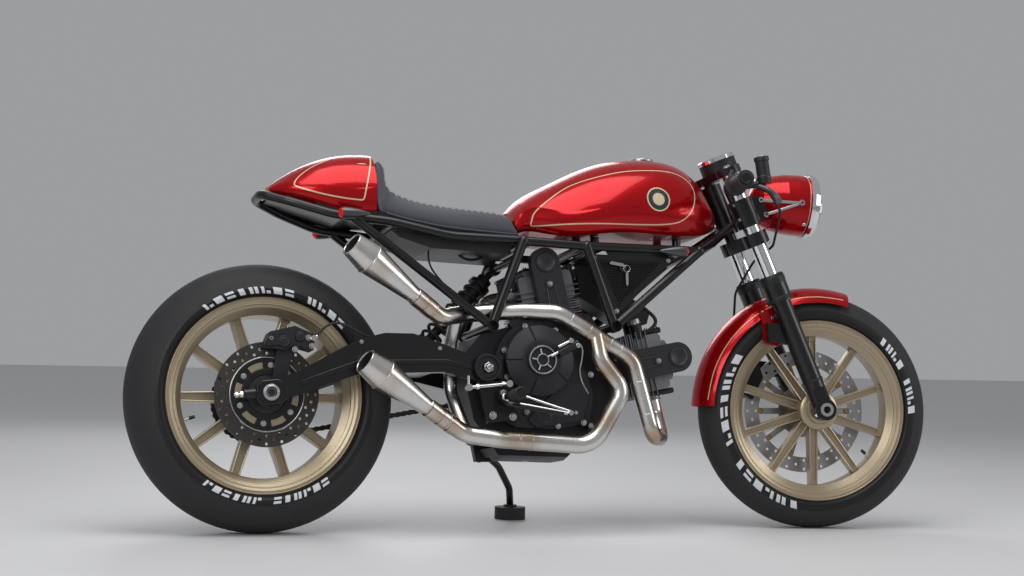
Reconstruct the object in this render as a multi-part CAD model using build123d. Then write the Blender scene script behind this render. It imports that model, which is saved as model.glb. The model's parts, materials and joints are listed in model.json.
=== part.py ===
"""A cafe racer motorcycle, leaning on its side stand with the foot on a puck.

Millimetres and degrees. The bike is first built upright with its bars straight: x runs forward
from the rear axle, y to the left and z up from the floor. The steered group is then turned,
the whole bike is leaned onto its stand, and the origin goes to the middle of its box, on the floor.
"""
from build123d import *
import math
import os

os.makedirs("parts", exist_ok=True)

# Stance
WHEELBASE = 1441.5
LEAN = 7.35
STEER_AT_REST = -9.51
RAKE = 22.0
TRAIL = 90.0

# Wheels
REAR_TYRE_R = 318.2
REAR_TYRE_HALF = 90.0
FRONT_TYRE_R = 300.8
FRONT_TYRE_HALF = 59.0
FLANGE_R = 231.5
BEAD_SEAT_R = 216.0
RIM_WALL = 6.0
REAR_RIM_HALF = 76.0
FRONT_RIM_HALF = 51.0
SPOKES = 10
REAR_SPOKE_PHASE = 0.0
FRONT_SPOKE_PHASE = 18.0
AXLE_R = 12.5
AXLE_BORE_R = 9.0
WHEEL_RUNNING_FIT = 0.05
REAR_HUB_R = 46.0
FRONT_HUB_R = 34.0
REAR_HUB_HALF = 68.0
FRONT_HUB_HALF = 62.0

# Brakes and final drive
FRONT_DISC_R = 160.0
FRONT_DISC_INNER_R = 121.0
FRONT_DISC_Y = 70.0
REAR_DISC_R = 122.5
REAR_DISC_INNER_R = 89.0
REAR_DISC_Y = -96.0
DISC_THICK = 5.0
CHAIN_Y = 103.0
CHAIN_WIDTH = 14.0
CHAIN_DEPTH = 12.0
REAR_SPROCKET_R = 88.0
FRONT_SPROCKET_R = 34.0
OUTPUT_SHAFT = (604.0, 372.0)

# Frame
FRAME_TUBE_R = 12.5
FRAME_HALF = 127.0
BOSS_R = 14.5
BOSS_BORE_R = 12.0
BOSS_HALF = 140.0
HEAD_TUBE_R = 27.0
HEAD_LOW_Z = 754.0
HEAD_TOP_Z = 880.0
REAR_BOSS = (539.0, 486.0)
FRONT_BOSS = (855.0, 492.0)

# Fork
FORK_HALF = 104.0
STANCHION_R = 21.5
SLIDER_R = 25.5
SLIDER_COLLAR_R = 33.0
SLIDER_TOP_Z = 636.0
COLLAR_LOW_Z = 575.0
FORK_TOP_Z = 910.0
LOW_CLAMP_Z = (707.0, 738.0)
TOP_CLAMP_Z = (886.0, 904.0)
STEM_BORE_R = 9.0

# Engine
CRANK = (745.0, 364.0)
CYLINDER_TILT = 11.7
ENGINE_HALF = 96.0
CLUTCH_CENTRE = (647.0, 400.0)
CLUTCH_R = 86.0
CLUTCH_FACE_Y = -158.0
BELT_COVER_Y = (-104.0, -80.0)

# Exhaust
PIPE_R = 21.0

# Swingarm and stand
PIVOT = (528.0, 386.0)
ARM_Y = (116.0, 146.0)
PUCK_CENTRE = (705.8, 279.1)
PUCK_R = 39.8
PUCK_HEIGHT = 31.5
FOOT_R = 17.0
FOOT_THICK = 6.0
STAND_HINGE = (575.0, 120.0, 210.0)
SEAT_GAP = 0.3
CUT_HALF = 200.0

TAN_RAKE = math.tan(math.radians(RAKE))
AXIS_FOOT_X = WHEELBASE + TRAIL
REAR_AXLE = (0.0, REAR_TYRE_R)
FRONT_AXLE = (WHEELBASE, FRONT_TYRE_R)


def axis_x(z):
    """Where the steering axis is, at a height."""
    return AXIS_FOOT_X - z * TAN_RAKE


def fork_x(z):
    """Where the centre line of the fork legs is, at a height."""
    return WHEELBASE + (FRONT_TYRE_R - z) * TAN_RAKE


# Turning, leaning and setting down
steer_plane = Plane(
    origin=(AXIS_FOOT_X, 0, 0),
    x_dir=(math.cos(math.radians(RAKE)), 0, math.sin(math.radians(RAKE))),
    z_dir=(-math.sin(math.radians(RAKE)), 0, math.cos(math.radians(RAKE))),
)
steer_location = steer_plane.location * Rotation(0, 0, STEER_AT_REST) * steer_plane.location.inverse()
lean_location = Rotation(-LEAN, 0, 0)


def ring_low_point(location, axle, outer_r, crown_r):
    """The lowest height of a tyre whose tread is round, once it is placed."""
    centre = (location * Pos(axle[0], 0, axle[1])).position
    tip = (location * Pos(axle[0], 1, axle[1])).position
    slope = tip.Z - centre.Z
    return centre.Z - (outer_r - crown_r) * math.sqrt(1 - slope * slope) - crown_r


def crown_radius(outer_r, half, shoulder_drop):
    """The radius of a tread that falls by shoulder_drop at its two edges."""
    return (half * half + shoulder_drop * shoulder_drop) / (2 * shoulder_drop)


SHOULDER_DROP = {"rear": 68.0, "front": 55.0}
rear_crown = crown_radius(REAR_TYRE_R, REAR_TYRE_HALF, SHOULDER_DROP["rear"])
front_crown = crown_radius(FRONT_TYRE_R, FRONT_TYRE_HALF, SHOULDER_DROP["front"])
rear_low = ring_low_point(lean_location, REAR_AXLE, REAR_TYRE_R, rear_crown)
front_low = ring_low_point(lean_location * steer_location, FRONT_AXLE, FRONT_TYRE_R, front_crown)
pitch = math.degrees(math.atan2(front_low - rear_low, WHEELBASE))
lean_location = Rotation(0, pitch, 0) * lean_location
rear_low = ring_low_point(lean_location, REAR_AXLE, REAR_TYRE_R, rear_crown)
chassis_location = Pos(0, 0, -rear_low) * lean_location
steered_location = chassis_location * steer_location


def upright_point(x, y, z):
    """A point given on the leaned bike's floor, as a point of the upright bike."""
    p = (chassis_location.inverse() * Pos(x, y, z)).position
    return (p.X, p.Y, p.Z)


# Shapes that many pieces use
def rod(start, end, r):
    """A round bar between two points."""
    start = Vector(*start)
    run = Vector(*end) - start
    return extrude(Plane(origin=start, z_dir=run) * Circle(r), run.length)


def on_axis(z_low, z_top, r):
    """A round bar on the steering axis, between two heights."""
    return rod((axis_x(z_low), 0, z_low), (axis_x(z_top), 0, z_top), r)


def cone(start, end, r_start, r_end):
    """A round taper between two points."""
    start = Vector(*start)
    run = Vector(*end) - start
    near = Plane(origin=start, z_dir=run)
    return loft([near * Circle(r_start), near.offset(run.length) * Circle(r_end)])


def bent_bar(points, r, bends):
    """A round bar: straight runs, with a ring segment of the given radius at each corner."""
    corners = [Vector(*p) for p in points]
    pieces = []
    start = corners[0]
    for corner, after, bend in zip(corners[1:-1], corners[2:], bends):
        way_in = (corner - start).normalized()
        way_out = (after - corner).normalized()
        turn = way_in.get_angle(way_out)
        reach = bend * math.tan(math.radians(turn) / 2)
        bend_start = corner - way_in * reach
        inward = (way_out - way_in * math.cos(math.radians(turn))).normalized()
        bend_axis = Axis(bend_start + inward * bend, way_in.cross(inward))
        section = Plane(origin=bend_start, z_dir=way_in) * Circle(r)
        pieces.append(rod(tuple(start), tuple(bend_start), r))
        pieces.append(revolve(section, bend_axis, turn))
        start = corner + way_out * reach
    pieces.append(rod(tuple(start), tuple(corners[-1]), r))
    return joined(*pieces)


def slab(outline, y_low, y_high, corner=0.0):
    """A flat plate: an outline of (x, z) points, between two sides."""
    plane = Plane(origin=(0, y_high, 0), x_dir=(1, 0, 0), z_dir=(0, -1, 0))
    face = make_face(Polyline(*outline, close=True))
    if corner:
        face = fillet(face.vertices(), corner)
    return extrude(plane * face, y_high - y_low)


def across(centre, r, y_low, y_high):
    """A round bar that lies across the bike."""
    return rod((centre[0], y_low, centre[1]), (centre[0], y_high, centre[1]), r)


def through(centre, r):
    """A round bar across the bike that is longer than the bike is wide, to cut bores with."""
    return across(centre, r, -CUT_HALF, CUT_HALF)


def outboard(side, near, far):
    """The two sides of a plate or bar as (low y, high y), on the bike's side -1 or 1."""
    return (min(side * near, side * far), max(side * near, side * far))


def turned(outline, axle):
    """A solid turned about an axle from an outline of (y, r) points."""
    face = make_face(Polyline(*[(0, y, r) for y, r in outline], close=True))
    return Pos(axle[0], 0, axle[1]) * revolve(face, Axis.Y)


def both_sides(shape):
    """A piece and its mirror image on the other side of the bike."""
    return [shape, mirror(shape, Plane.XZ)]


def joined(*shapes):
    """Several shapes as one solid."""
    flat = []
    for shape in shapes:
        flat.extend(shape if isinstance(shape, list) else [shape])
    return flat[0] + flat[1:]


def around(axle, count, phase, shape):
    """Copies of a shape, evenly turned about an axle."""
    centre = Pos(axle[0], 0, axle[1])
    return [
        centre * Rotation(0, phase + i * 360 / count, 0) * centre.inverse() * shape
        for i in range(count)
    ]


# Wheels
def tyre(axle, outer_r, half, rim_half, shoulder_drop):
    """A road tyre: a round tread, a sidewall that comes in to the bead, and the hollow inside."""
    wall = 9.0
    shoulder_r = outer_r - shoulder_drop
    bead_y = rim_half - 6.0
    inner_r = outer_r - wall
    sidewall_r = FLANGE_R + 1.0
    outer = [
        ThreePointArc((0, -half, shoulder_r), (0, 0, outer_r), (0, half, shoulder_r)),
        ThreePointArc((0, half, shoulder_r), (0, half - 2, shoulder_r - 9), (0, bead_y, sidewall_r)),
        Line((0, bead_y, sidewall_r), (0, bead_y, BEAD_SEAT_R)),
        Line((0, bead_y, BEAD_SEAT_R), (0, bead_y - wall, BEAD_SEAT_R)),
        Line((0, bead_y - wall, BEAD_SEAT_R), (0, half - wall, shoulder_r)),
        ThreePointArc((0, half - wall, shoulder_r), (0, 0, inner_r), (0, wall - half, shoulder_r)),
        Line((0, wall - half, shoulder_r), (0, wall - bead_y, BEAD_SEAT_R)),
        Line((0, wall - bead_y, BEAD_SEAT_R), (0, -bead_y, BEAD_SEAT_R)),
        Line((0, -bead_y, BEAD_SEAT_R), (0, -bead_y, sidewall_r)),
        ThreePointArc((0, -bead_y, sidewall_r), (0, 2 - half, shoulder_r - 9), (0, -half, shoulder_r)),
    ]
    return Pos(axle[0], 0, axle[1]) * revolve(make_face(outer), Axis.Y)


def rim(axle, rim_half, bead, hub_r, hub_half, phase, root_half, tip_half, spoke_thick):
    """A cast wheel: barrel, hub and fluted spokes in one piece, bored for its axle."""
    well_r = BEAD_SEAT_R - 18.0
    side = [
        (rim_half, FLANGE_R),
        (rim_half - 5.0, FLANGE_R),
        (rim_half - 6.0, BEAD_SEAT_R),
        (rim_half - bead, BEAD_SEAT_R - 1.0),
        (rim_half - bead - 9.0, well_r),
    ]
    under = [
        (rim_half - bead - 7.0, well_r - RIM_WALL),
        (rim_half - bead + 2.0, BEAD_SEAT_R - 1.0 - RIM_WALL),
        (rim_half - 7.0, BEAD_SEAT_R - 9.0),
        (rim_half, FLANGE_R - 9.0),
    ]
    outline = side + [(-y, r) for y, r in reversed(side)] + [(-y, r) for y, r in reversed(under)] + under
    barrel = turned(outline, axle)
    root_r = hub_r - 8.0
    tip_r = well_r - RIM_WALL + 2.0
    spoke = slab(
        [
            (axle[0] + root_r, axle[1] - root_half),
            (axle[0] + tip_r, axle[1] - tip_half),
            (axle[0] + tip_r, axle[1] + tip_half),
            (axle[0] + root_r, axle[1] + root_half),
        ],
        -spoke_thick / 2,
        spoke_thick / 2,
    )
    flute_depth = 3.5
    flute_edge = 3.2
    flute = [
        (axle[0] + hub_r + 8.0, axle[1] - root_half + flute_edge),
        (axle[0] + tip_r - 14.0, axle[1] - tip_half + flute_edge),
        (axle[0] + tip_r - 14.0, axle[1] + tip_half - flute_edge),
        (axle[0] + hub_r + 8.0, axle[1] + root_half - flute_edge),
    ]
    face_y = spoke_thick / 2
    spoke = spoke - slab(flute, face_y - flute_depth, face_y + 1)
    spoke = spoke - slab(flute, -face_y - 1, -face_y + flute_depth)
    hub = across(axle, hub_r, -hub_half, hub_half)
    bore = across(axle, AXLE_R + WHEEL_RUNNING_FIT, -hub_half - 1, hub_half + 1)
    return joined(hub, barrel, around(axle, SPOKES, phase, spoke)) - bore


def disc(axle, y, outer_r, inner_r, rows, carrier_r, carrier_arms, bolt_r):
    """A drilled brake disc with its carrier, as one piece."""
    low, high = y - DISC_THICK / 2, y + DISC_THICK / 2
    band = across(axle, outer_r, low, high) - across(axle, inner_r, low - 1, high + 1)
    drill_r = 3.6
    holes = []
    for ring_r, count, phase in rows:
        drill = across((axle[0] + ring_r, axle[1]), drill_r, low - 1, high + 1)
        holes.extend(around(axle, count, phase, drill))
    band = band - holes
    arm_half = 8.0
    arm = slab(
        [
            (axle[0] + carrier_r - 6, axle[1] - arm_half),
            (axle[0] + inner_r + 3, axle[1] - arm_half),
            (axle[0] + inner_r + 3, axle[1] + arm_half),
            (axle[0] + carrier_r - 6, axle[1] + arm_half),
        ],
        low,
        high,
    )
    carrier = across(axle, carrier_r, low, high) - across(axle, bolt_r, low - 1, high + 1)
    return joined(band, carrier, around(axle, carrier_arms, 0, arm))


rear_tyre = tyre(REAR_AXLE, REAR_TYRE_R, REAR_TYRE_HALF, REAR_RIM_HALF, SHOULDER_DROP["rear"])
front_tyre = tyre(FRONT_AXLE, FRONT_TYRE_R, FRONT_TYRE_HALF, FRONT_RIM_HALF, SHOULDER_DROP["front"])
rear_rim = rim(
    REAR_AXLE, REAR_RIM_HALF, bead=26.0, hub_r=REAR_HUB_R, hub_half=REAR_HUB_HALF,
    phase=REAR_SPOKE_PHASE, root_half=14.0, tip_half=11.0, spoke_thick=34.0,
)
front_rim = rim(
    FRONT_AXLE, FRONT_RIM_HALF, bead=18.0, hub_r=FRONT_HUB_R, hub_half=FRONT_HUB_HALF,
    phase=FRONT_SPOKE_PHASE, root_half=12.0, tip_half=9.5, spoke_thick=28.0,
)

# The two discs and the sprocket are bolted to the hubs by round seats
front_disc = disc(
    FRONT_AXLE, FRONT_DISC_Y, FRONT_DISC_R, FRONT_DISC_INNER_R,
    [(129.0, 20, 0), (140.5, 20, 9), (152.0, 20, 0)], 68.0, 10, 20.0,
)
front_disc_seat = across(FRONT_AXLE, 42.0, FRONT_HUB_HALF, FRONT_DISC_Y - DISC_THICK / 2)
front_rim = front_rim + (front_disc_seat - through(FRONT_AXLE, AXLE_R + WHEEL_RUNNING_FIT))
rear_disc = disc(
    REAR_AXLE, REAR_DISC_Y, REAR_DISC_R, REAR_DISC_INNER_R,
    [(96.0, 20, 0), (105.5, 20, 9), (115.0, 20, 0)], 76.0, 10, 30.0,
)
rear_seat = across(REAR_AXLE, 52.0, REAR_DISC_Y + DISC_THICK / 2, -REAR_HUB_HALF)
rear_seat = rear_seat + across(REAR_AXLE, 48.0, REAR_HUB_HALF, CHAIN_Y - 4)
rear_rim = rear_rim + (rear_seat - through(REAR_AXLE, AXLE_R + WHEEL_RUNNING_FIT))

SPROCKET_TEETH = 45
SPROCKET_HALF = 3.0
SPROCKET_BORE_R = 26.0
sprocket_sides = (CHAIN_Y - SPROCKET_HALF, CHAIN_Y + SPROCKET_HALF)
sprocket_tooth = slab(
    [(REAR_SPROCKET_R - 6, REAR_TYRE_R - 4), (REAR_SPROCKET_R, REAR_TYRE_R - 1.5),
     (REAR_SPROCKET_R, REAR_TYRE_R + 1.5), (REAR_SPROCKET_R - 6, REAR_TYRE_R + 4)],
    *sprocket_sides,
)
sprocket_plate = across(REAR_AXLE, REAR_SPROCKET_R - 5, *sprocket_sides)
sprocket_window = across((58.0, REAR_TYRE_R), 14.0, CHAIN_Y - 5, CHAIN_Y + 5)
rear_sprocket = joined(sprocket_plate, around(REAR_AXLE, SPROCKET_TEETH, 0, sprocket_tooth))
rear_sprocket = rear_sprocket - through(REAR_AXLE, SPROCKET_BORE_R)
rear_sprocket = rear_sprocket - around(REAR_AXLE, 5, 36, sprocket_window)
rear_sprocket = rear_sprocket - across(REAR_AXLE, 48.5, CHAIN_Y - 6, sprocket_sides[0])


# Frame
SHOCK_EYE = (604.0, 652.0)
SHOCK_BOLT_R = 9.0


FRONT_FOOT = (FRONT_BOSS[0], FRAME_HALF, FRONT_BOSS[1])
REAR_FOOT = (REAR_BOSS[0], FRAME_HALF, REAR_BOSS[1])
TRIANGLE_REAR = (786.0, FRAME_HALF, 690.0)
TRIANGLE_FRONT = (1092.0, 112.0, 690.0)
SEAT_NODE = (622.0, FRAME_HALF, 697.0)
LOOP_NODE = (200.0, 119.0, 741.0)
HEAD_KNEE = (1150.0, 60.0, 722.0)
HEAD_NODE = (1222.0, 16.0, 774.0)
THIN_TUBE_R = FRAME_TUBE_R - 1.5
# Start, end and radius of each tube on one side
SIDE_TUBES = [
    (FRONT_FOOT, TRIANGLE_REAR, FRAME_TUBE_R),
    (FRONT_FOOT, TRIANGLE_FRONT, FRAME_TUBE_R),
    (TRIANGLE_REAR, TRIANGLE_FRONT, THIN_TUBE_R),
    (TRIANGLE_FRONT, HEAD_KNEE, FRAME_TUBE_R),
    (HEAD_KNEE, HEAD_NODE, FRAME_TUBE_R),
    (TRIANGLE_REAR, SEAT_NODE, THIN_TUBE_R),
    (REAR_FOOT, SEAT_NODE, FRAME_TUBE_R),
    (REAR_FOOT, LOOP_NODE, THIN_TUBE_R),
]
KNOT_R = FRAME_TUBE_R + 0.8
BOSS_TUBE_R = BOSS_R - 4.0
frame_side = [rod(*tube) for tube in SIDE_TUBES]
for knot in (TRIANGLE_REAR, TRIANGLE_FRONT, HEAD_KNEE, SEAT_NODE):
    frame_side.append(Pos(*knot) * Sphere(KNOT_R))
frame_cross = [across(SHOCK_EYE, SHOCK_BOLT_R, -FRAME_HALF, FRAME_HALF)]
for knot in (TRIANGLE_REAR, TRIANGLE_FRONT, SEAT_NODE):
    frame_cross.append(across((knot[0], knot[2]), THIN_TUBE_R, -knot[1], knot[1]))
for boss in (REAR_BOSS, FRONT_BOSS):
    frame_cross.append(across(boss, BOSS_TUBE_R, -BOSS_HALF, BOSS_HALF))
# Posts under the tank: x, height of the cross bar, and height of the tank's base there
TANK_POSTS = [(644.0, 696.0, 715.8), (830.0, 690.0, 723.0), (1050.0, 690.0, 727.2)]
POST_Y = 64.0
POST_R = 11.0
for x, bar_z, top_z in TANK_POSTS:
    frame_cross.append(across((x, bar_z), POST_R - 2, 6 - FRAME_HALF, FRAME_HALF - 6))
    frame_cross.extend(both_sides(rod((x, POST_Y, bar_z), (x, POST_Y, top_z), POST_R)))
boss_ends = []
for boss in (REAR_BOSS, FRONT_BOSS):
    boss_ends.extend(both_sides(across(boss, BOSS_R, FRAME_HALF - 16, BOSS_HALF)))
frame_left = [mirror(tube, Plane.XZ) for tube in frame_side]
head_tube = on_axis(HEAD_LOW_Z, HEAD_TOP_Z, HEAD_TUBE_R)
main_frame = joined(head_tube, frame_side, frame_left, frame_cross, boss_ends)
STEM_R = 15.0
for boss in (REAR_BOSS, FRONT_BOSS):
    for pocket in both_sides(across(boss, BOSS_BORE_R, BOSS_HALF - 22, BOSS_HALF + 1)):
        main_frame = main_frame - pocket
main_frame = main_frame - on_axis(HEAD_LOW_Z - 5, HEAD_TOP_Z + 5, STEM_R + 0.05)

TAIL_TUBE_R = 11.0
TAIL_POINTS = [
    (612.0, 118.0, 700.0), (440.0, 119.0, 704.0), (290.0, 118.0, 734.0), (160.0, 111.0, 746.0),
    (58.0, 82.0, 778.0), (-6.0, 44.0, 800.0),
]
tail_path = TAIL_POINTS + [(x, -y, z) for x, y, z in reversed(TAIL_POINTS)]
TAIL_BENDS = [300.0, 300.0, 200.0, 120.0, 34.0, 34.0, 120.0, 200.0, 300.0, 300.0]
tail_loop = bent_bar(tail_path, TAIL_TUBE_R, TAIL_BENDS)
TAIL_BRACES = [(300.0, 728.0), (520.0, 702.0)]
tail_braces = [across(place, TAIL_TUBE_R - 2, -116, 116) for place in TAIL_BRACES]
# Floor plates under the tail cowl: x from, z from, x to, z to, half width
TAIL_FLOOR = [
    (14.0, 800.7, 50.0, 792.7, 44.0), (50.0, 792.7, 115.0, 775.7, 84.0),
    (115.0, 775.7, 190.0, 757.7, 100.0), (190.0, 757.7, 284.0, 757.7, 112.0),
]
tail_floor = []
for x0, z0, x1, z1, half in TAIL_FLOOR:
    tail_floor.append(slab([(x0, z0), (x1, z1), (x1, z1 - 9), (x0, z0 - 9)], -half, half))
tail_subframe = joined(tail_loop, tail_braces, tail_floor)
main_frame = main_frame - tail_subframe


# Tank, seat and tail: sections of a flat base, round sides and a round top
def body_section(x, base_z, base_half, side_z, half, shoulder, top_z):
    """One cross section of a shell, as a closed wire of lines and arcs."""
    rise = top_z - side_z
    crown = ((half - shoulder) ** 2 + rise * rise - shoulder * shoulder) / (2 * (rise - shoulder))
    to_shoulder = Vector(0, half - shoulder, crown - rise)
    meet = Vector(x, 0, top_z - crown) + to_shoulder.normalized() * crown
    meet_left = (x, meet.Y, meet.Z)
    meet_right = (x, -meet.Y, meet.Z)
    mid_angle = math.atan2(meet.Z - side_z, meet.Y - (half - shoulder)) / 2
    knee_y = half - shoulder + shoulder * math.cos(mid_angle)
    knee_z = side_z + shoulder * math.sin(mid_angle)
    flank_y = base_half + (half - base_half) * 0.72
    flank_z = base_z + (side_z - base_z) * 0.42
    return Wire([
        Line((x, -base_half, base_z), (x, base_half, base_z)),
        ThreePointArc((x, base_half, base_z), (x, flank_y, flank_z), (x, half, side_z)),
        ThreePointArc((x, half, side_z), (x, knee_y, knee_z), meet_left),
        ThreePointArc(meet_left, (x, 0, top_z), meet_right),
        ThreePointArc(meet_right, (x, -knee_y, knee_z), (x, -half, side_z)),
        ThreePointArc((x, -half, side_z), (x, -flank_y, flank_z), (x, -base_half, base_z)),
    ])


# x, base z, base half width, side z, half width, shoulder radius, top z
TANK_SECTIONS = [
    (612.0, 716.0, 84.0, 734.0, 98.0, 22.0, 784.0),
    (720.0, 717.0, 106.0, 758.0, 130.0, 45.0, 860.0),
    (830.0, 724.0, 118.0, 776.0, 147.0, 60.0, 911.0),
    (950.0, 729.0, 118.0, 786.0, 150.0, 66.0, 935.0),
    (1050.0, 728.0, 106.0, 790.0, 136.0, 62.0, 928.0),
    (1108.0, 736.0, 82.0, 796.0, 108.0, 48.0, 896.0),
    (1148.0, 749.0, 50.0, 794.0, 70.0, 26.0, 844.0),
    (1170.0, 762.0, 24.0, 786.0, 40.0, 14.0, 812.0),
]
TAIL_SECTIONS = [
    (14.0, 801.0, 26.0, 810.0, 36.0, 8.0, 824.0),
    (50.0, 793.0, 56.0, 812.0, 70.0, 22.0, 851.0),
    (115.0, 776.0, 84.0, 808.0, 98.0, 40.0, 887.0),
    (190.0, 758.0, 98.0, 806.0, 110.0, 52.0, 909.0),
    (262.0, 758.0, 102.0, 810.0, 112.0, 56.0, 913.0),
]
fuel_tank = loft([make_face(body_section(*row)) for row in TANK_SECTIONS])
STEERING_WELL_R = 45.0
fuel_tank = fuel_tank - on_axis(690, 960, STEERING_WELL_R)
# The tank's rear end slants over the seat's nose
tank_tail_cut = slab([(590, 700), (628.5, 700), (628.5, 712), (598.5, 764), (590, 764)], -150, 150)
fuel_tank = fuel_tank - tank_tail_cut - main_frame
FILLER = (985.0, 935.5)
FILLER_R = 31.0
tank_cap = rod((FILLER[0], 0, FILLER[1] - 1.5), (FILLER[0], 0, FILLER[1] + 5), FILLER_R)
tank_cap = fillet(tank_cap.edges().filter_by(GeomType.CIRCLE).sort_by(Axis.Z)[-1:], 3)
fuel_tank = fuel_tank - rod((FILLER[0], 0, FILLER[1] - 1.5), (FILLER[0], 0, 990), FILLER_R + SEAT_GAP)

tail_cowl = loft([make_face(body_section(*row)) for row in TAIL_SECTIONS])
SEAT_OUTLINE = [
    (598, 763), (555, 771), (458, 777), (361, 787), (304, 804), (288, 820), (286, 850), (294, 876),
    (288, 890), (272, 896), (263, 890), (263, 764), (270, 750.0), (286, 747.6), (324, 739.2),
    (395, 725.2), (440, 717.4), (500, 714.2), (607, 712.2),
    (628, 712),
]
SEAT_HALF = 114.0
seat = slab(SEAT_OUTLINE, -SEAT_HALF, SEAT_HALF) - tail_subframe - main_frame
tail_cowl = tail_cowl - tail_subframe
electrics_tray = slab(
    [(300, 716), (395, 706), (600, 696), (600, 668), (400, 676), (320, 700)], -96, 96
) - tail_subframe


# Engine
tilt = math.radians(CYLINDER_TILT)
FRONT_WAY = (math.cos(tilt), math.sin(tilt))
REAR_WAY = (-math.sin(tilt), math.cos(tilt))


def along(way, distance, sideways=0.0):
    """A point (x, z) at a distance from the crankshaft along a cylinder, and beside it."""
    return (
        CRANK[0] + way[0] * distance - way[1] * sideways,
        CRANK[1] + way[1] * distance + way[0] * sideways,
    )


def block(way, start, end, half_height, y_low, y_high, corner=0.0):
    """A straight block that follows a cylinder's axis."""
    outline = [
        along(way, start, -half_height),
        along(way, end, -half_height),
        along(way, end, half_height),
        along(way, start, half_height),
    ]
    return slab(outline, y_low, y_high, corner)


case_outline = [
    (486, 330), (486, 430), (520, 470), (600, 492), (664, 500), (800, 528), (838, 470), (880, 440),
    (886, 322), (846, 276), (806, 240), (742, 196), (600, 196), (540, 214), (500, 262),
]
case_body = slab(case_outline, -ENGINE_HALF, ENGINE_HALF, 12.0)
sump = slab([(560, 200), (572, 181), (750, 177), (770, 200)], -58, 58)
CASE_SIDE_Y = -ENGINE_HALF - 26.0
clutch_case = across(CLUTCH_CENTRE, CLUTCH_R + 12, CASE_SIDE_Y, -ENGINE_HALF + 4)
case_side = slab(
    [(560, 262), (600, 244), (700, 240), (786, 258), (796, 320), (780, 380), (700, 440), (590, 440)],
    CASE_SIDE_Y, -ENGINE_HALF + 4, 10.0,
)
PIVOT_BOSS_R = 34.0
PIVOT_BORE_R = 12.0
pivot_boss = across(PIVOT, PIVOT_BOSS_R, -ENGINE_HALF - 8, ENGINE_HALF + 8)
crankcase = joined(case_body, sump, clutch_case, case_side, pivot_boss)
crankcase = crankcase - through(PIVOT, PIVOT_BORE_R)

clutch_cover = across(CLUTCH_CENTRE, CLUTCH_R, CLUTCH_FACE_Y + 14, CASE_SIDE_Y)
clutch_cover = clutch_cover + cone(
    (CLUTCH_CENTRE[0], CLUTCH_FACE_Y + 14, CLUTCH_CENTRE[1]),
    (CLUTCH_CENTRE[0], CLUTCH_FACE_Y, CLUTCH_CENTRE[1]), CLUTCH_R - 3, 50.0,
)
HUB_RING_R = 34.0
hub_ring = across(CLUTCH_CENTRE, HUB_RING_R, CLUTCH_FACE_Y - 8, CLUTCH_FACE_Y + 2)
hub_hollow = across(CLUTCH_CENTRE, HUB_RING_R - 5, CLUTCH_FACE_Y - 9, CLUTCH_FACE_Y - 3)
clutch_cover = clutch_cover + hub_ring - hub_hollow

left_cover_case = across(CRANK, 78.0, ENGINE_HALF, ENGINE_HALF + 44)
left_cover_link = slab(
    [(572, 330), (720, 290), (760, 440), (590, 430)], ENGINE_HALF, ENGINE_HALF + 30, 20.0
)
sprocket_case = across(OUTPUT_SHAFT, 52.0, CHAIN_Y + 12, CHAIN_Y + 26)
left_engine_cover = joined(left_cover_case, left_cover_link)
left_engine_cover = left_engine_cover - across(OUTPUT_SHAFT, 50.0, 0, CHAIN_Y + 12)
left_engine_cover = left_engine_cover + sprocket_case - across(PIVOT, 44.0, 0, 200)

BARREL_START = 96.0
BARREL_END = 196.0
HEAD_END = 268.0
BORE_HALF = 62.0
BARREL_HALF = 66.0
FIN_COUNT = 8
FIN_THICK = 3.0
FIN_REACH = 14.0
HEAD_HALF = BORE_HALF + 8.0
PORT_AT = 228.0
PORT_REACH = 22.0
PORT_Y = -30.0


def port_point(way, side, reach):
    """A point on an exhaust port's axis, at a distance out of the cylinder head."""
    x, z = along(way, PORT_AT, side * (HEAD_HALF + reach))
    return (x, PORT_Y, z)


def cylinder(way, port_side):
    """A finned barrel and its head with the exhaust port, along one of the two cylinder axes."""
    core = block(way, BARREL_START, BARREL_END, BORE_HALF, -BARREL_HALF, BARREL_HALF, 12.0)
    head = block(way, BARREL_END, HEAD_END, HEAD_HALF, -BARREL_HALF - 8, BARREL_HALF + 8, 12.0)
    fin_pitch = (BARREL_END - BARREL_START) / FIN_COUNT
    fins = []
    for i in range(1, FIN_COUNT):
        at = BARREL_START + i * fin_pitch
        fins.append(block(
            way, at, at + FIN_THICK, BORE_HALF + FIN_REACH,
            -BARREL_HALF - FIN_REACH, BARREL_HALF + FIN_REACH,
        ))
    top_cover = block(way, HEAD_END, HEAD_END + 14, BORE_HALF - 12, -BARREL_HALF, BARREL_HALF, 5.0)
    port = rod(port_point(way, port_side, -10), port_point(way, port_side, PORT_REACH), PIPE_R + 3)
    return joined(core, head, fins, top_cover, port)


cylinders = [cylinder(FRONT_WAY, -1), cylinder(REAR_WAY, 1)]
crankcase = crankcase - cylinders


def belt_cover(way):
    """The long flat case over a cam belt, round at the cylinder head's end."""
    start, end, r = 92.0, 292.0, 37.0
    tip = along(way, end)
    arm = block(way, start, end, r, *BELT_COVER_Y)
    return joined(arm, across(tip, r, *BELT_COVER_Y))


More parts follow.
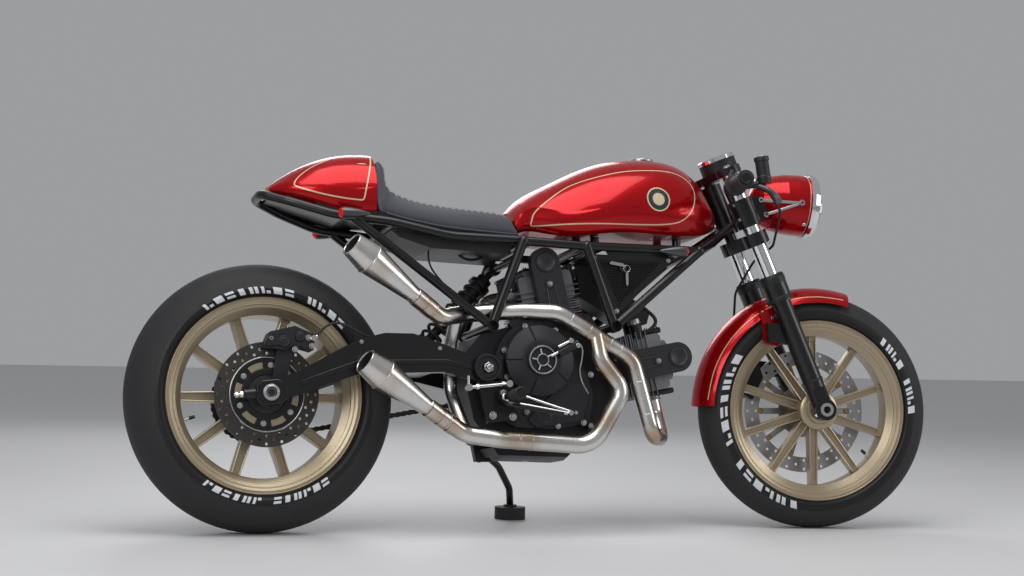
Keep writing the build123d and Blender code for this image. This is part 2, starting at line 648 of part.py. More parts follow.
belt_covers = [belt_cover(FRONT_WAY), belt_cover(REAR_WAY)]
belt_covers = [cover - crankcase - cylinders for cover in belt_covers]
INTAKE_AT = 230.0
INTAKE_REACH = 40.0
INTAKE_R = 24.0
INTAKE_HALF = 38.0
INTAKE_OUTLINE = [
    (790, 650), (796, 575), (850, 545), (915, 505), (975, 512), (985, 545), (900, 600), (850, 660),
]
intake_stubs = []
for way, side in ((FRONT_WAY, 1), (REAR_WAY, -1)):
    near = along(way, INTAKE_AT, side * HEAD_HALF)
    far = along(way, INTAKE_AT, side * (HEAD_HALF + INTAKE_REACH))
    intake_stubs.append(rod((near[0], 0, near[1]), (far[0], 0, far[1]), INTAKE_R))
intake = joined(slab(INTAKE_OUTLINE, -INTAKE_HALF, INTAKE_HALF), intake_stubs)
for boss in (FRONT_BOSS, REAR_BOSS):
    crankcase = crankcase - through(boss, BOSS_TUBE_R + SEAT_GAP)

# Exhaust: a header from each cylinder, a crossing, and two tail pipes on the right side
UPPER_SMALL_END = (364.0, -150.0, 534.0)
UPPER_MOUTH = (178.0, -205.0, 660.0)
LOWER_SMALL_END = (393.0, -152.0, 272.0)
LOWER_MOUTH = (208.0, -205.0, 388.0)
CROSSING = (800.0, -137.0, 466.0)
upper_pipe = bent_bar(
    [UPPER_SMALL_END, (412.0, -136.0, 501.0), (476.0, -92.0, 518.0), (560.0, -91.0, 526.0),
     (630.0, -112.0, 526.0), (708.0, -132.0, 522.0), CROSSING],
    PIPE_R, [45.0, 70.0, 150.0, 200.0, 70.0],
)
lower_pipe = bent_bar(
    [LOWER_SMALL_END, (467.0, -131.0, 226.0), (560.0, -146.0, 212.0), (782.0, -150.0, 198.0),
     (866.0, -148.0, 332.0), (808.0, -144.0, 408.0), CROSSING],
    PIPE_R, [70.0, 150.0, 70.0, 46.0, 50.0],
)
front_header = bent_bar(
    [CROSSING, (896.0, -134.0, 412.0), (944.0, -136.0, 224.0), (990.0, -74.0, 222.0),
     port_point(FRONT_WAY, -1, PORT_REACH + 34), port_point(FRONT_WAY, -1, PORT_REACH)],
    PIPE_R - 1, [60.0, 34.0, 28.0, 40.0],
)
rear_header = bent_bar(
    [port_point(REAR_WAY, 1, PORT_REACH), port_point(REAR_WAY, 1, PORT_REACH + 36),
     (536.0, -62.0, 544.0), (560.0, -91.0, 526.0)],
    PIPE_R - 3, [40.0, 22.0],
)
down_pipe = bent_bar(
    [(462.0, -96.0, 516.0), (450.0, -70.0, 440.0), (450.0, -70.0, 330.0), (470.0, -132.0, 225.0)],
    PIPE_R - 5, [60.0, 60.0],
)
exhaust_pipes = joined(
    upper_pipe, lower_pipe, front_header, rear_header, down_pipe, Pos(*CROSSING) * Sphere(PIPE_R)
)
belt_covers = [cover - exhaust_pipes for cover in belt_covers]


def muffler(small_end, mouth, mouth_r, big_r, small_r):
    """A reverse cone silencer, open at its mouth."""
    start = Vector(*small_end)
    run = Vector(*mouth) - start
    near = Plane(origin=start, z_dir=run)
    length = run.length
    shoulder = length * 0.76
    outside = make_face(Polyline(
        (0, 0), (small_r, 0), (small_r, 30), (big_r, shoulder), (mouth_r, length),
        (mouth_r - 4, length), (mouth_r - 5, shoulder + 20), (0, shoulder + 10), close=True,
    ))
    return near.location * revolve(Plane.XZ * outside, Axis.Z)


MUFFLER_RADII = (30.0, 39.0, 20.0)
upper_muffler = muffler(UPPER_SMALL_END, UPPER_MOUTH, *MUFFLER_RADII) - exhaust_pipes
lower_muffler = muffler(LOWER_SMALL_END, LOWER_MOUTH, *MUFFLER_RADII) - exhaust_pipes

# Swingarm
ARM_OUTLINE = [
    (-20, 300), (20, 300), (61, 312), (207, 364), (413, 372), (500, 352), (556, 360), (560, 412),
    (480, 414), (414, 438), (340, 462), (270, 462), (207, 446), (59, 366), (-20, 338),
]
arm_right = slab(ARM_OUTLINE, -ARM_Y[1], -ARM_Y[0])
arm_left = slab(ARM_OUTLINE, ARM_Y[0], ARM_Y[1])
BRIDGE_OUTLINE = [(340, 380), (414, 380), (414, 436), (340, 458)]
bridge = slab(BRIDGE_OUTLINE, -ARM_Y[0] - 1, ARM_Y[0] - 22)
axle_eye = both_sides(across(REAR_AXLE, 30.0, ARM_Y[0], ARM_Y[1] + 2))
swingarm = joined(arm_right, arm_left, bridge, axle_eye)
PIVOT_BOLT_R = 11.9
bridge_left = slab([(340, 425), (400, 425), (400, 440), (340, 458)], ARM_Y[0] - 23, ARM_Y[0] + 1)
swingarm = swingarm + bridge_left - through(REAR_AXLE, AXLE_R)
pivot_bolt = across(PIVOT, PIVOT_BOLT_R, -ARM_Y[1] - 10, ARM_Y[1] + 10)
swingarm = swingarm + pivot_bolt - crankcase

AXLE_NUT_R = 19.0
SPACER_R = 18.0
rear_axle = across(REAR_AXLE, AXLE_R, -ARM_Y[1] - 8, ARM_Y[1] + 8)
rear_axle = rear_axle + both_sides(across(REAR_AXLE, AXLE_NUT_R, ARM_Y[1] + 2, ARM_Y[1] + 12))
right_spacer = across(REAR_AXLE, SPACER_R, SEAT_GAP - ARM_Y[0], REAR_DISC_Y + DISC_THICK / 2 - 0.7)
left_spacer = across(REAR_AXLE, SPACER_R, sprocket_sides[0] - SEAT_GAP, ARM_Y[0] - SEAT_GAP)
rear_axle = joined(rear_axle, right_spacer, left_spacer)
rear_axle = rear_axle - through(REAR_AXLE, AXLE_BORE_R)

CALIPER_SLOT = 6.0
REAR_CALIPER_OUTLINE = [(-14, 424), (2, 462), (60, 476), (108, 456), (104, 420), (60, 432), (36, 420)]
rear_caliper = slab(REAR_CALIPER_OUTLINE, -128, -70)
rotor_slot = across(REAR_AXLE, REAR_DISC_R + CALIPER_SLOT, REAR_DISC_Y - 5, REAR_DISC_Y + 5)
rear_caliper = rear_caliper - rotor_slot
caliper_hanger = slab([(8, 342), (42, 350), (64, 440), (22, 440)], -ARM_Y[0] + SEAT_GAP, -105)
rear_caliper = rear_caliper + caliper_hanger - swingarm

SHOCK_LOW = (394.0, 44.0, 434.0)
SHOCK_TOP = (SHOCK_EYE[0], 60.0, SHOCK_EYE[1])
shock_run = Vector(*SHOCK_TOP) - Vector(*SHOCK_LOW)


def on_shock(t):
    """A point on the shock absorber's centre line, from 0 at its foot to 1 at its top."""
    p = Vector(*SHOCK_LOW) + shock_run * t
    return (p.X, p.Y, p.Z)


# Steps along the shock absorber: from, to, radius
SHOCK_STEPS = [(0.0, 1.0, 9.0), (0.12, 0.2, 27.0), (0.2, 0.78, 24.0), (0.78, 0.9, 29.0)]
shock_absorber = joined(
    [rod(on_shock(low), on_shock(high), r) for low, high, r in SHOCK_STEPS],
    across(SHOCK_EYE, SHOCK_BOLT_R + 7, SHOCK_TOP[1] - 12, SHOCK_TOP[1] + 12),
)
shock_absorber = shock_absorber - swingarm - through(SHOCK_EYE, SHOCK_BOLT_R)

# Final drive
def belt_outline(grow):
    """The loop round both sprockets, grown outwards by a distance."""
    rear_c = Vector(REAR_AXLE[0], REAR_AXLE[1])
    front_c = Vector(OUTPUT_SHAFT[0], OUTPUT_SHAFT[1])
    run = front_c - rear_c
    span = run.length
    rear_r = REAR_SPROCKET_R + grow
    front_r = FRONT_SPROCKET_R + grow
    lift = math.asin((rear_r - front_r) / span)
    base = math.atan2(run.Y, run.X)
    top = base + math.pi / 2 - lift
    low = base - math.pi / 2 + lift

    def on(centre, r, a):
        """A point on a circle, at an angle."""
        return (centre.X + r * math.cos(a), centre.Y + r * math.sin(a))

    return [
        Line(on(rear_c, rear_r, top), on(front_c, front_r, top)),
        ThreePointArc(on(front_c, front_r, top), on(front_c, front_r, base), on(front_c, front_r, low)),
        Line(on(front_c, front_r, low), on(rear_c, rear_r, low)),
        ThreePointArc(on(rear_c, rear_r, low), on(rear_c, rear_r, base + math.pi), on(rear_c, rear_r, top)),
    ]


chain_plane = Plane(origin=(0, CHAIN_Y + CHAIN_WIDTH / 2, 0), x_dir=(1, 0, 0), z_dir=(0, -1, 0))
chain_face = make_face(belt_outline(CHAIN_DEPTH)) - make_face(belt_outline(0.8))
drive_chain = extrude(chain_plane * chain_face, CHAIN_WIDTH)
drive_chain = drive_chain - crankcase - swingarm

# Side panels in the frame's triangles
PANEL_OUTLINE = [(798, 681), (1064, 681), (864, 522)]
side_panel = slab(PANEL_OUTLINE, FRAME_HALF - 7, FRAME_HALF - 4, 6.0)
side_panels = [panel - main_frame for panel in both_sides(side_panel)]

# Foot controls
BRACKET_OUTLINE = [(500, 352), (560, 352), (600, 262), (522, 252)]
PEG_R = 12.0
PEG_TIP = (578.0, 232.0, 318.0)
PEDAL_POINTS = [(546.0, -138.0, 318.0), (556.0, -200.0, 292.0), (690.0, -205.0, 270.0)]
right_bracket = slab(BRACKET_OUTLINE, *outboard(-1, ENGINE_HALF + 27, ENGINE_HALF + 44))
left_bracket = slab(BRACKET_OUTLINE, *outboard(1, ENGINE_HALF + 33.3, ENGINE_HALF + 46))
left_peg = rod((578.0, ENGINE_HALF + 40, 312.0), PEG_TIP, PEG_R)
pedal = bent_bar(PEDAL_POINTS, 5.0, [20.0])
right_foot_controls = joined(right_bracket, mirror(left_peg, Plane.XZ), pedal)
right_foot_controls = right_foot_controls - exhaust_pipes - crankcase
left_foot_controls = joined(left_bracket, left_peg)

# Turn signals
# Distance behind the lens and radius
SIGNAL_OUTLINE = [(0, 0), (14, 0), (15, 8), (14, 26), (10, 44), (4, 62), (0, 68)]
SIGNAL_Y = 150.0


def signal(lens_x, side, z, nose):
    """A bullet lamp on one side of the bike; nose is 1 when its lens faces forward."""
    place = Plane(origin=(lens_x, side * SIGNAL_Y, z), x_dir=(0, 1, 0), z_dir=(-nose, 0, 0))
    outline = make_face(Polyline(*SIGNAL_OUTLINE, close=True))
    return place.location * revolve(Plane.XZ * outline, Axis.Z)


turn_signals = []
STALK_R = 5.0
for side in (-1, 1):
    rear_stalk = rod((186.0, side * 117.0, 743.0), (190.0, side * 146.0, 744.0), STALK_R)
    turn_signals.append(joined(signal(168.0, side, 744.0, -1), rear_stalk) - tail_subframe)
    front_stalk = rod((1012.0, side * 122.0, 690.0), (1012.0, side * 146.0, 683.0), STALK_R)
    turn_signals.append(joined(signal(1038.0, side, 681.0, 1), front_stalk) - main_frame)

# Side stand
foot_centre = upright_point(PUCK_CENTRE[0], PUCK_CENTRE[1], PUCK_HEIGHT + FOOT_THICK / 2)
foot_low = upright_point(PUCK_CENTRE[0], PUCK_CENTRE[1], PUCK_HEIGHT)
foot_top = upright_point(PUCK_CENTRE[0], PUCK_CENTRE[1], PUCK_HEIGHT + FOOT_THICK)
puck_low = upright_point(PUCK_CENTRE[0], PUCK_CENTRE[1], 0.0)
stand_leg = bent_bar(
    [STAND_HINGE, (652.0, 196.0, 166.0), (696.0, 246.0, 112.0), foot_centre], 9.0, [80.0, 40.0]
)
stand_foot = rod(foot_low, foot_top, FOOT_R)
STAND_AXIS = (0.125, 0.573, 0.657)
HINGE_BOLT_R = 6.0
hinge_way = Vector(*STAND_AXIS).normalized()


def on_hinge(distance):
    """A point on the stand's hinge line, at a distance from its middle."""
    p = Vector(*STAND_HINGE) + hinge_way * distance
    return (p.X, p.Y, p.Z)


stand_eye = rod(on_hinge(-9), on_hinge(9), 15.0)
hinge_bolt = rod(on_hinge(-48), on_hinge(14), HINGE_BOLT_R)
hinge_bore = rod(on_hinge(-48), on_hinge(14), HINGE_BOLT_R + 0.1)
side_stand = joined(stand_leg, stand_foot, stand_eye) - hinge_bore
stand_puck = rod(puck_low, foot_low, PUCK_R)
stand_lug = slab([(546, 222), (606, 222), (598, 172), (556, 172)], 76, 98)
crankcase = joined(crankcase, stand_lug, hinge_bolt)

# Steered group, with its bars straight
def on_leg(side, z):
    """A point on the centre line of one fork leg, at a height."""
    return (fork_x(z), side * FORK_HALF, z)


SOCKET_LOW_Z = SLIDER_TOP_Z - 60.0
SOCKET_TOP_Z = SLIDER_TOP_Z + 9.0
FOOT_Y = (80.0, 124.0)
FENDER_LUG_OUTLINE = [(1300, 474), (1352, 466), (1352, 520), (1296, 520)]
fork_stanchions = []
fork_sliders = []
for side in (-1, 1):
    fork_stanchions.append(rod(on_leg(side, SOCKET_LOW_Z), on_leg(side, FORK_TOP_Z), STANCHION_R))
    leg = rod(on_leg(side, FRONT_TYRE_R - 14), on_leg(side, COLLAR_LOW_Z), SLIDER_R)
    collar = rod(on_leg(side, COLLAR_LOW_Z), on_leg(side, SLIDER_TOP_Z), SLIDER_COLLAR_R)
    foot = across(FRONT_AXLE, 27.0, *outboard(side, *FOOT_Y))
    lug = slab(FENDER_LUG_OUTLINE, *outboard(side, 78.0, FORK_HALF))
    slider = joined(leg, collar, foot, lug)
    slider = slider - rod(on_leg(side, SOCKET_LOW_Z), on_leg(side, SOCKET_TOP_Z), STANCHION_R)
    slider = slider - across(FRONT_AXLE, 60.0, *outboard(side, FORK_HALF + 20, FORK_HALF + 60))
    fork_sliders.append(slider - through(FRONT_AXLE, AXLE_R))
front_axle = across(FRONT_AXLE, AXLE_R, -FORK_HALF - 26, FORK_HALF + 26)
front_axle = front_axle + both_sides(across(FRONT_AXLE, 17.0, FORK_HALF + 20, FORK_HALF + 26))
front_axle = front_axle - through(FRONT_AXLE, AXLE_BORE_R)


def yoke(z_low, z_top):
    """One fork clamp: a plate between the legs with a pinch ring at each."""
    tilt_plane = Plane(
        origin=(axis_x(z_low), 0, z_low),
        x_dir=steer_plane.x_dir,
        z_dir=steer_plane.z_dir,
    )
    thick = (z_top - z_low) / math.cos(math.radians(RAKE))
    offset = (fork_x(z_low) - axis_x(z_low)) * math.cos(math.radians(RAKE))
    plate = make_face(Polyline(
        (-26, -30), (-26, 30), (offset - 26, FORK_HALF), (offset + 20, FORK_HALF),
        (26, 20), (26, -20), (offset + 20, -FORK_HALF), (offset - 26, -FORK_HALF), close=True,
    ))
    rings = [Pos(offset, y) * Circle(STANCHION_R + 11) for y in (-FORK_HALF, FORK_HALF)]
    face = plate + rings + Circle(34)
    return extrude(tilt_plane * face, thick)


stem = on_axis(LOW_CLAMP_Z[0], TOP_CLAMP_Z[1], STEM_R)
stem_bore = on_axis(LOW_CLAMP_Z[0] - 30, LOW_CLAMP_Z[0] + 90, STEM_BORE_R)
fork_clamps = joined(yoke(*LOW_CLAMP_Z), yoke(*TOP_CLAMP_Z), stem) - stem_bore - fork_stanchions

FENDER_R = 318.0
FENDER_LUG_Y = 77.7
FENDER_WALL = 3.0
FENDER_HALF = 66.0
FENDER_FROM, FENDER_TO = 73.0, 178.0
fender_face = make_face([
    ThreePointArc((0, -FENDER_HALF, FENDER_R - 42), (0, 0, FENDER_R), (0, FENDER_HALF, FENDER_R - 42)),
    Line((0, FENDER_HALF, FENDER_R - 42), (0, FENDER_HALF - FENDER_WALL, FENDER_R - 42)),
    ThreePointArc(
        (0, FENDER_HALF - FENDER_WALL, FENDER_R - 42),
        (0, 0, FENDER_R - FENDER_WALL),
        (0, FENDER_WALL - FENDER_HALF, FENDER_R - 42),
    ),
    Line((0, FENDER_WALL - FENDER_HALF, FENDER_R - 42), (0, -FENDER_HALF, FENDER_R - 42)),
])
fender_shell = revolve(Rotation(0, 90 - FENDER_FROM, 0) * fender_face, Axis.Y, -(FENDER_TO - FENDER_FROM))
fender_shell = Pos(FRONT_AXLE[0], 0, FRONT_AXLE[1]) * fender_shell
fender_lug = joined(
    slab([(1296, 470), (1334, 462), (1330, 524), (1290, 524)], 65.0, FENDER_LUG_Y),
    slab([(1290, 518), (1330, 518), (1336, 556), (1284, 556)], 61.0, FENDER_LUG_Y),
)
front_fender = joined(fender_shell, both_sides(fender_lug)) - fork_sliders

# Headlight
LAMP_CENTRE = (1440.0, 832.0)
LAMP_DIP = -4.5
LAMP_R = 85.0
lamp_dir = Vector(math.cos(math.radians(LAMP_DIP)), 0, math.sin(math.radians(LAMP_DIP)))
lamp_plane = Plane(origin=(LAMP_CENTRE[0], 0, LAMP_CENTRE[1]), x_dir=(0, 1, 0), z_dir=-lamp_dir)
shell_outline = make_face(Polyline(
    (0, 4), (79, 4), (79, 44), (77, 74), (70, 108), (56, 136), (34, 156), (0, 166), (0, 163),
    (32.5, 153), (54, 134), (67.5, 106.5), (74.2, 73), (76, 44), (76, 8), (0, 8), close=True,
))
headlight_shell = lamp_plane.location * revolve(Plane.XZ * shell_outline, Axis.Z)
ring_outline = make_face(Polyline(
    (72, -10), (80, -8), (LAMP_R, 4), (LAMP_R, 14), (79.3, 14), (79.3, 3.7), (72, 3.7), close=True,
))
headlight_ring = lamp_plane.location * revolve(Plane.XZ * ring_outline, Axis.Z)
lens_outline = make_face([
    Line((0, 0, -1), (0, 0, -30)),
    ThreePointArc((0, 0, -30), (38, 0, -26), (71.7, 0, -9)),
    Line((71.7, 0, -9), (71.7, 0, -1)),
    Line((71.7, 0, -1), (0, 0, -1)),
])
headlight_lens = lamp_plane.location * revolve(lens_outline, Axis.Z)
STAY_BOLTS = [(1283.0, 835.0), (1296.0, 798.0)]
STAY_EYE = (1395.0, 831.0)
headlight_stays = []
for side in (-1, 1):
    eye = across(STAY_EYE, 8.0, *outboard(side, 76.0, 92.0))
    eye_middle = (STAY_EYE[0], side * 86.0, STAY_EYE[1])
    bars = [rod((x, side * 96.0, z), eye_middle, 4.0) for x, z in STAY_BOLTS]
    heads = [across(bolt, 6.5, *outboard(side, 91.0, 101.0)) for bolt in STAY_BOLTS]
    headlight_stays.append(joined(eye, bars, heads) - headlight_shell)

# Bars and controls
SLEEVE_Z = (766.0, 834.0)
SLEEVE_R = STANCHION_R + 8.5
BAR_R = 11.0
GRIP_R = 19.5
EAR_OUTLINE = [(1256, 842), (1286, 846), (1304, 792), (1272, 780)]


def between(start, end, t):
    """A point on the line from start to end, at the share t of it."""
    return tuple(a + (b - a) * t for a, b in zip(start, end))


handlebars = []
grips = []
hand_controls = []
for side in (-1, 1):
    bar_start = (fork_x(856.0) - 24, side * (FORK_HALF + 6), 858.0)
    bar_end = (1176.0, side * 340.0, 856.0)
    riser_foot = (fork_x(826.0) - 20, side * (FORK_HALF + 4), 826.0)
    bar = joined(
        rod(on_leg(side, SLEEVE_Z[0]), on_leg(side, SLEEVE_Z[1]), SLEEVE_R),
        slab(EAR_OUTLINE, *outboard(side, 92.0, 100.0)),
        rod(riser_foot, bar_start, BAR_R),
        rod(bar_start, bar_end, BAR_R),
    )
    bar = bar - fork_stanchions - headlight_stays
    handlebars.append(bar)
    grip = rod(between(bar_start, bar_end, 0.46), between(bar_start, bar_end, 0.985), GRIP_R)
    grips.append(grip - bar)
    housing = rod(between(bar_start, bar_end, 0.27), between(bar_start, bar_end, 0.45), GRIP_R + 4)
    lever = bent_bar(
        [(1236.0, side * 188.0, 862.0), (1270.0, side * 226.0, 838.0), (1262.0, side * 326.0, 806.0)],
        5.0, [40.0],
    )
    perch = rod((1206.0, side * 176.0, 858.0), (1250.0, side * 200.0, 862.0), 9.0)
    control = joined(housing, perch, lever)
    if side < 0:
        control = control + rod((1264.0, -200.0, 864.0), (1256.0, -200.0, 924.0), 17.0)
    hand_controls.append(control - bar)

GAUGE_R = 48.0
GAUGE_DEPTH = 40.0
gauge_plane = Plane(origin=(1198.0, 0, 936.0), x_dir=(0, 1, 0), z_dir=(-0.36, 0, 0.93))
gauge_post = rod((axis_x(TOP_CLAMP_Z[1]), 0, TOP_CLAMP_Z[1] + 1), (1190.0, 0, 926.0), 12.0)
instrument = joined(extrude(gauge_plane.offset(-24) * Circle(GAUGE_R), GAUGE_DEPTH), gauge_post)
instrument = instrument - fork_clamps

FRONT_CALIPER_OUTLINE = [(1262, 352), (1300, 330), (1330, 388), (1312, 440), (1272, 430)]
front_caliper = slab(FRONT_CALIPER_OUTLINE, FRONT_DISC_Y - 16, FRONT_DISC_Y + 26)
rotor_slot = across(FRONT_AXLE, FRONT_DISC_R + CALIPER_SLOT, FRONT_DISC_Y - 5, FRONT_DISC_Y + 5)
front_caliper = front_caliper - rotor_slot
caliper_lug = slab([(1290, 400), (1400, 388), (1408, 424), (1300, 436)], 86, 104)
front_caliper = joined(front_caliper, caliper_lug) - fork_sliders
front_brake_hose = bent_bar(
    [(1262.0, -200.0, 862.5), (1320.0, -150.0, 800.0), (1326.0, -60.0, 722.0), (1300.0, 30.0, 690.0),
     (1262.0, 74.0, 610.0), (1262.0, 96.0, 520.0), (1288.0, 84.0, 435.0)],
    3.2, [35.0, 45.0, 45.0, 45.0, 45.0],
)

chassis_nodes = {
    "main_frame": main_frame,
    "tail_subframe": tail_subframe,
    "fuel_tank": fuel_tank,
    "tank_cap": tank_cap,
    "seat": seat - tail_cowl - fuel_tank,
    "tail_cowl": tail_cowl,
    "electrics_tray": electrics_tray,
    "crankcase": crankcase,
    "clutch_cover": clutch_cover,
    "left_engine_cover": left_engine_cover,
    "cylinders": cylinders,
    "belt_covers": belt_covers,
    "intake": intake,
    "side_panels": side_panels,
    "exhaust_pipes": exhaust_pipes,
    "upper_muffler": upper_muffler,
    "lower_muffler": lower_muffler,
    "swingarm": swingarm,
    "shock_absorber": shock_absorber,
    "rear_axle": rear_axle,
    "rear_caliper": rear_caliper,
    "drive_chain": drive_chain,
    "right_foot_controls": right_foot_controls,
    "left_foot_controls": left_foot_controls,
    "turn_signals": turn_signals,
    "rear_rim": rear_rim,
    "rear_tyre": rear_tyre,
    "rear_disc": rear_disc,
    "rear_sprocket": rear_sprocket,
    "side_stand": side_stand,
    "stand_puck": stand_puck,
}
steered_nodes = {
    "fork_clamps": fork_clamps,
    "fork_stanchions": fork_stanchions,
    "fork_sliders": fork_sliders,
    "front_axle": front_axle,
    "front_fender": front_fender,
    "headlight_shell": headlight_shell,
    "headlight_ring": headlight_ring,
    "headlight_lens": headlight_lens,
    "headlight_stays": headlight_stays,
    "handlebars": handlebars,
    "grips": grips,
    "hand_controls": hand_controls,
    "instrument": instrument,
    "front_caliper": front_caliper,
    "front_brake_hose": front_brake_hose,
    "front_rim": front_rim,
    "front_tyre": front_tyre,
    "front_disc": front_disc,
}


def solids_of(shape):
    """Every solid of a node, whether it holds one shape or a list of them."""
    shapes = shape if isinstance(shape, list) else [shape]
    return [solid for item in shapes for solid in item.solids()]


placed = {}
for name, shape in chassis_nodes.items():
    placed[name] = [chassis_location * solid for solid in solids_of(shape)]
for name, shape in steered_nodes.items():
    placed[name] = [steered_location * solid for solid in solids_of(shape)]

whole = Compound(children=[solid for solids in placed.values() for solid in solids])
box = whole.bounding_box()
settle = Pos(-(box.min.X + box.max.X) / 2, -(box.min.Y + box.max.Y) / 2, -box.min.Z)
print("box", box.min, box.max)
print("settle", settle.position)

for name, solids in placed.items():
    export_step(Compound(children=[settle * solid for solid in solids]), f"parts/{name}.step")
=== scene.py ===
# %% [markdown]
# # A cafe racer on its side stand
#
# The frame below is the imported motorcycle: every load-bearing piece at its real size, already
# leaning on its stand with the bars a little turned. This lesson dresses it. It gives each surface
# a finish that is worked out from noise and position, and adds the small pieces that make a
# motorcycle read as one: painted lines, bolts, chain links, welds, stitching and hoses.

# %% Load the frame
import bmesh
import bpy
import json
import math
from mathutils import Matrix, Vector
from mathutils.bvhtree import BVHTree


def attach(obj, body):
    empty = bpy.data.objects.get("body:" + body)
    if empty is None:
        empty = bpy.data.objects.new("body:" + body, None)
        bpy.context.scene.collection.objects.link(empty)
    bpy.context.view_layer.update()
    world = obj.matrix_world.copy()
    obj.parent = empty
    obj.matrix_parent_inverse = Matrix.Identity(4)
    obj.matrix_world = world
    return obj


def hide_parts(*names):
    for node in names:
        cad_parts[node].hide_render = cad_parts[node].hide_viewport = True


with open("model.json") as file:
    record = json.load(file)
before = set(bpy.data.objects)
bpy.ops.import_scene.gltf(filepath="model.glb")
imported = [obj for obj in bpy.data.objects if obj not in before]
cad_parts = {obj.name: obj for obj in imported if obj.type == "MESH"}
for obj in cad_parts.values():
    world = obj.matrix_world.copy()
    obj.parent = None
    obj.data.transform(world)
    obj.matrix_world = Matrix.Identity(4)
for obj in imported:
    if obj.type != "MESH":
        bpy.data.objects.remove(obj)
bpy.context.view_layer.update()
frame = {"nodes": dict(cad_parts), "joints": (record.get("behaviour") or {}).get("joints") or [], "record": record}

# %% [markdown]
# ## Two sets of axes
#
# A leaning, steered motorcycle is awkward to measure, so each piece is made on an upright one,
# in millimetres: x runs forward from the rear axle, y to the rider's left, z up. The joints say
# how that upright motorcycle was turned. A wheel's axle gives "left", the steering axis gives a
# second direction, and the two together fix the whole rotation. This was chosen over typed angles
# because it follows the frame if the lean or the steering changes.

# %% Work out both placements from the joints
MM = 0.001
RAKE = math.radians(22.0)
REAR_AXLE = Vector((0.0, 0.0, 318.2))
FRONT_AXLE = Vector((1441.5, 0.0, 300.8))
joints = {joint["name"]: joint for joint in frame["joints"]}


def upright_matrix(wheel_joint, axle):
    """Takes a point of the upright motorcycle, in millimetres, to its place in the frame."""
    left = Vector(joints[wheel_joint]["axis"]).normalized()
    stem = Vector(joints["steering_turn"]["axis"]).normalized()
    ahead = left.cross(stem)
    forward = ahead * math.cos(RAKE) - stem * math.sin(RAKE)
    up = ahead * math.sin(RAKE) + stem * math.cos(RAKE)
    turn = Matrix((forward, left, up)).transposed()
    place = turn.to_4x4()
    place.translation = Vector(joints[wheel_joint]["pos_m"]) - turn @ (axle * MM)
    return place @ Matrix.Scale(MM, 4)


CHASSIS = upright_matrix("rear_wheel_spin", REAR_AXLE)
STEERED = upright_matrix("front_wheel_spin", FRONT_AXLE)
PLACES = {
    "chassis": CHASSIS, "rear_wheel": CHASSIS, "stand": CHASSIS,
    "steering": STEERED, "front_wheel": STEERED,
}
print("rear axle in the frame", [round(v, 3) for v in CHASSIS @ REAR_AXLE])

# %% [markdown]
# ## Helpers that shape and place a piece
#
# Each helper adds a simple form to an open mesh: a rod between two points, a turned profile, a
# bent tube or a flat plate. `piece` then moves the mesh to its place, turns its faces outwards,
# gives it a finish and lets it ride on its body. Small chamfers come from a Bevel modifier,
# because a machined edge without one catches no light.

# %% Mesh helpers
WELD_DISTANCE = 0.002
CHAMFER_FROM = math.radians(40.0)


def rod(bm, start, end, radius, end_radius=None, sides=24):
    """A round bar or taper between two points."""
    start, end = Vector(start), Vector(end)
    run = end - start
    turn = Vector((0, 0, 1)).rotation_difference(run.normalized()).to_matrix().to_4x4()
    bmesh.ops.create_cone(
        bm, cap_ends=True, segments=sides, radius1=radius,
        radius2=radius if end_radius is None else end_radius, depth=run.length,
        matrix=Matrix.Translation((start + end) / 2) @ turn,
    )


def across(bm, x, z, radius, y_from, y_to, sides=24):
    """A round bar across the motorcycle."""
    rod(bm, (x, y_from, z), (x, y_to, z), radius, sides=sides)


def aimed(start, direction):
    """A placement whose z axis points along a direction."""
    turn = Vector((0, 0, 1)).rotation_difference(Vector(direction).normalized())
    return Matrix.Translation(Vector(start)) @ turn.to_matrix().to_4x4()


def lathe(bm, outline, start, direction, steps=48):
    """A form turned about an axis, from (radius, distance along the axis) points."""
    before = set(bm.verts)
    verts = [bm.verts.new((r, 0, h)) for r, h in outline]
    edges = [bm.edges.new(pair) for pair in zip(verts, verts[1:])]
    bmesh.ops.spin(
        bm, geom=verts + edges, cent=(0, 0, 0), axis=(0, 0, 1), angle=math.tau,
        steps=steps, use_merge=True, use_duplicate=False,
    )
    fresh = [v for v in bm.verts if v not in before]
    bmesh.ops.transform(bm, matrix=aimed(start, direction), verts=fresh)
    return fresh


def ring(bm, centre, direction, radius, thick, steps=48, sides=8):
    """A torus, as a weld bead or a rolled lip."""
    outline = [
        (radius + thick * math.cos(math.tau * i / sides), thick * math.sin(math.tau * i / sides))
        for i in range(sides + 1)
    ]
    return lathe(bm, outline, centre, direction, steps)


def plate(bm, outline, y_from, y_to):
    """A flat plate: an outline of (x, z) points between two sides."""
    face = bm.faces.new([bm.verts.new((x, y_from, z)) for x, z in outline])
    grown = bmesh.ops.extrude_face_region(bm, geom=[face])
    fresh = [g for g in grown["geom"] if isinstance(g, bmesh.types.BMVert)]
    bmesh.ops.translate(bm, verts=fresh, vec=(0, y_to - y_from, 0))


def smooth_path(points, cyclic=False, resolution=6):
    """Points along a NURBS curve that is guided by a few chosen ones."""
    curve = bpy.data.curves.new("guide", "CURVE")
    curve.dimensions = "3D"
    curve.resolution_u = resolution
    spline = curve.splines.new("NURBS")
    spline.points.add(len(points) - 1)
    for target, p in zip(spline.points, points):
        target.co = (*p, 1)
    spline.order_u = 3
    spline.use_endpoint_u = not cyclic
    spline.use_cyclic_u = cyclic
    holder = bpy.data.objects.new("guide", curve)
    mesh = bpy.data.meshes.new_from_object(holder)
    found = [v.co.copy() for v in mesh.vertices]
    bpy.data.objects.remove(holder)
    bpy.data.curves.remove(curve)
    bpy.data.meshes.remove(mesh)
    return found


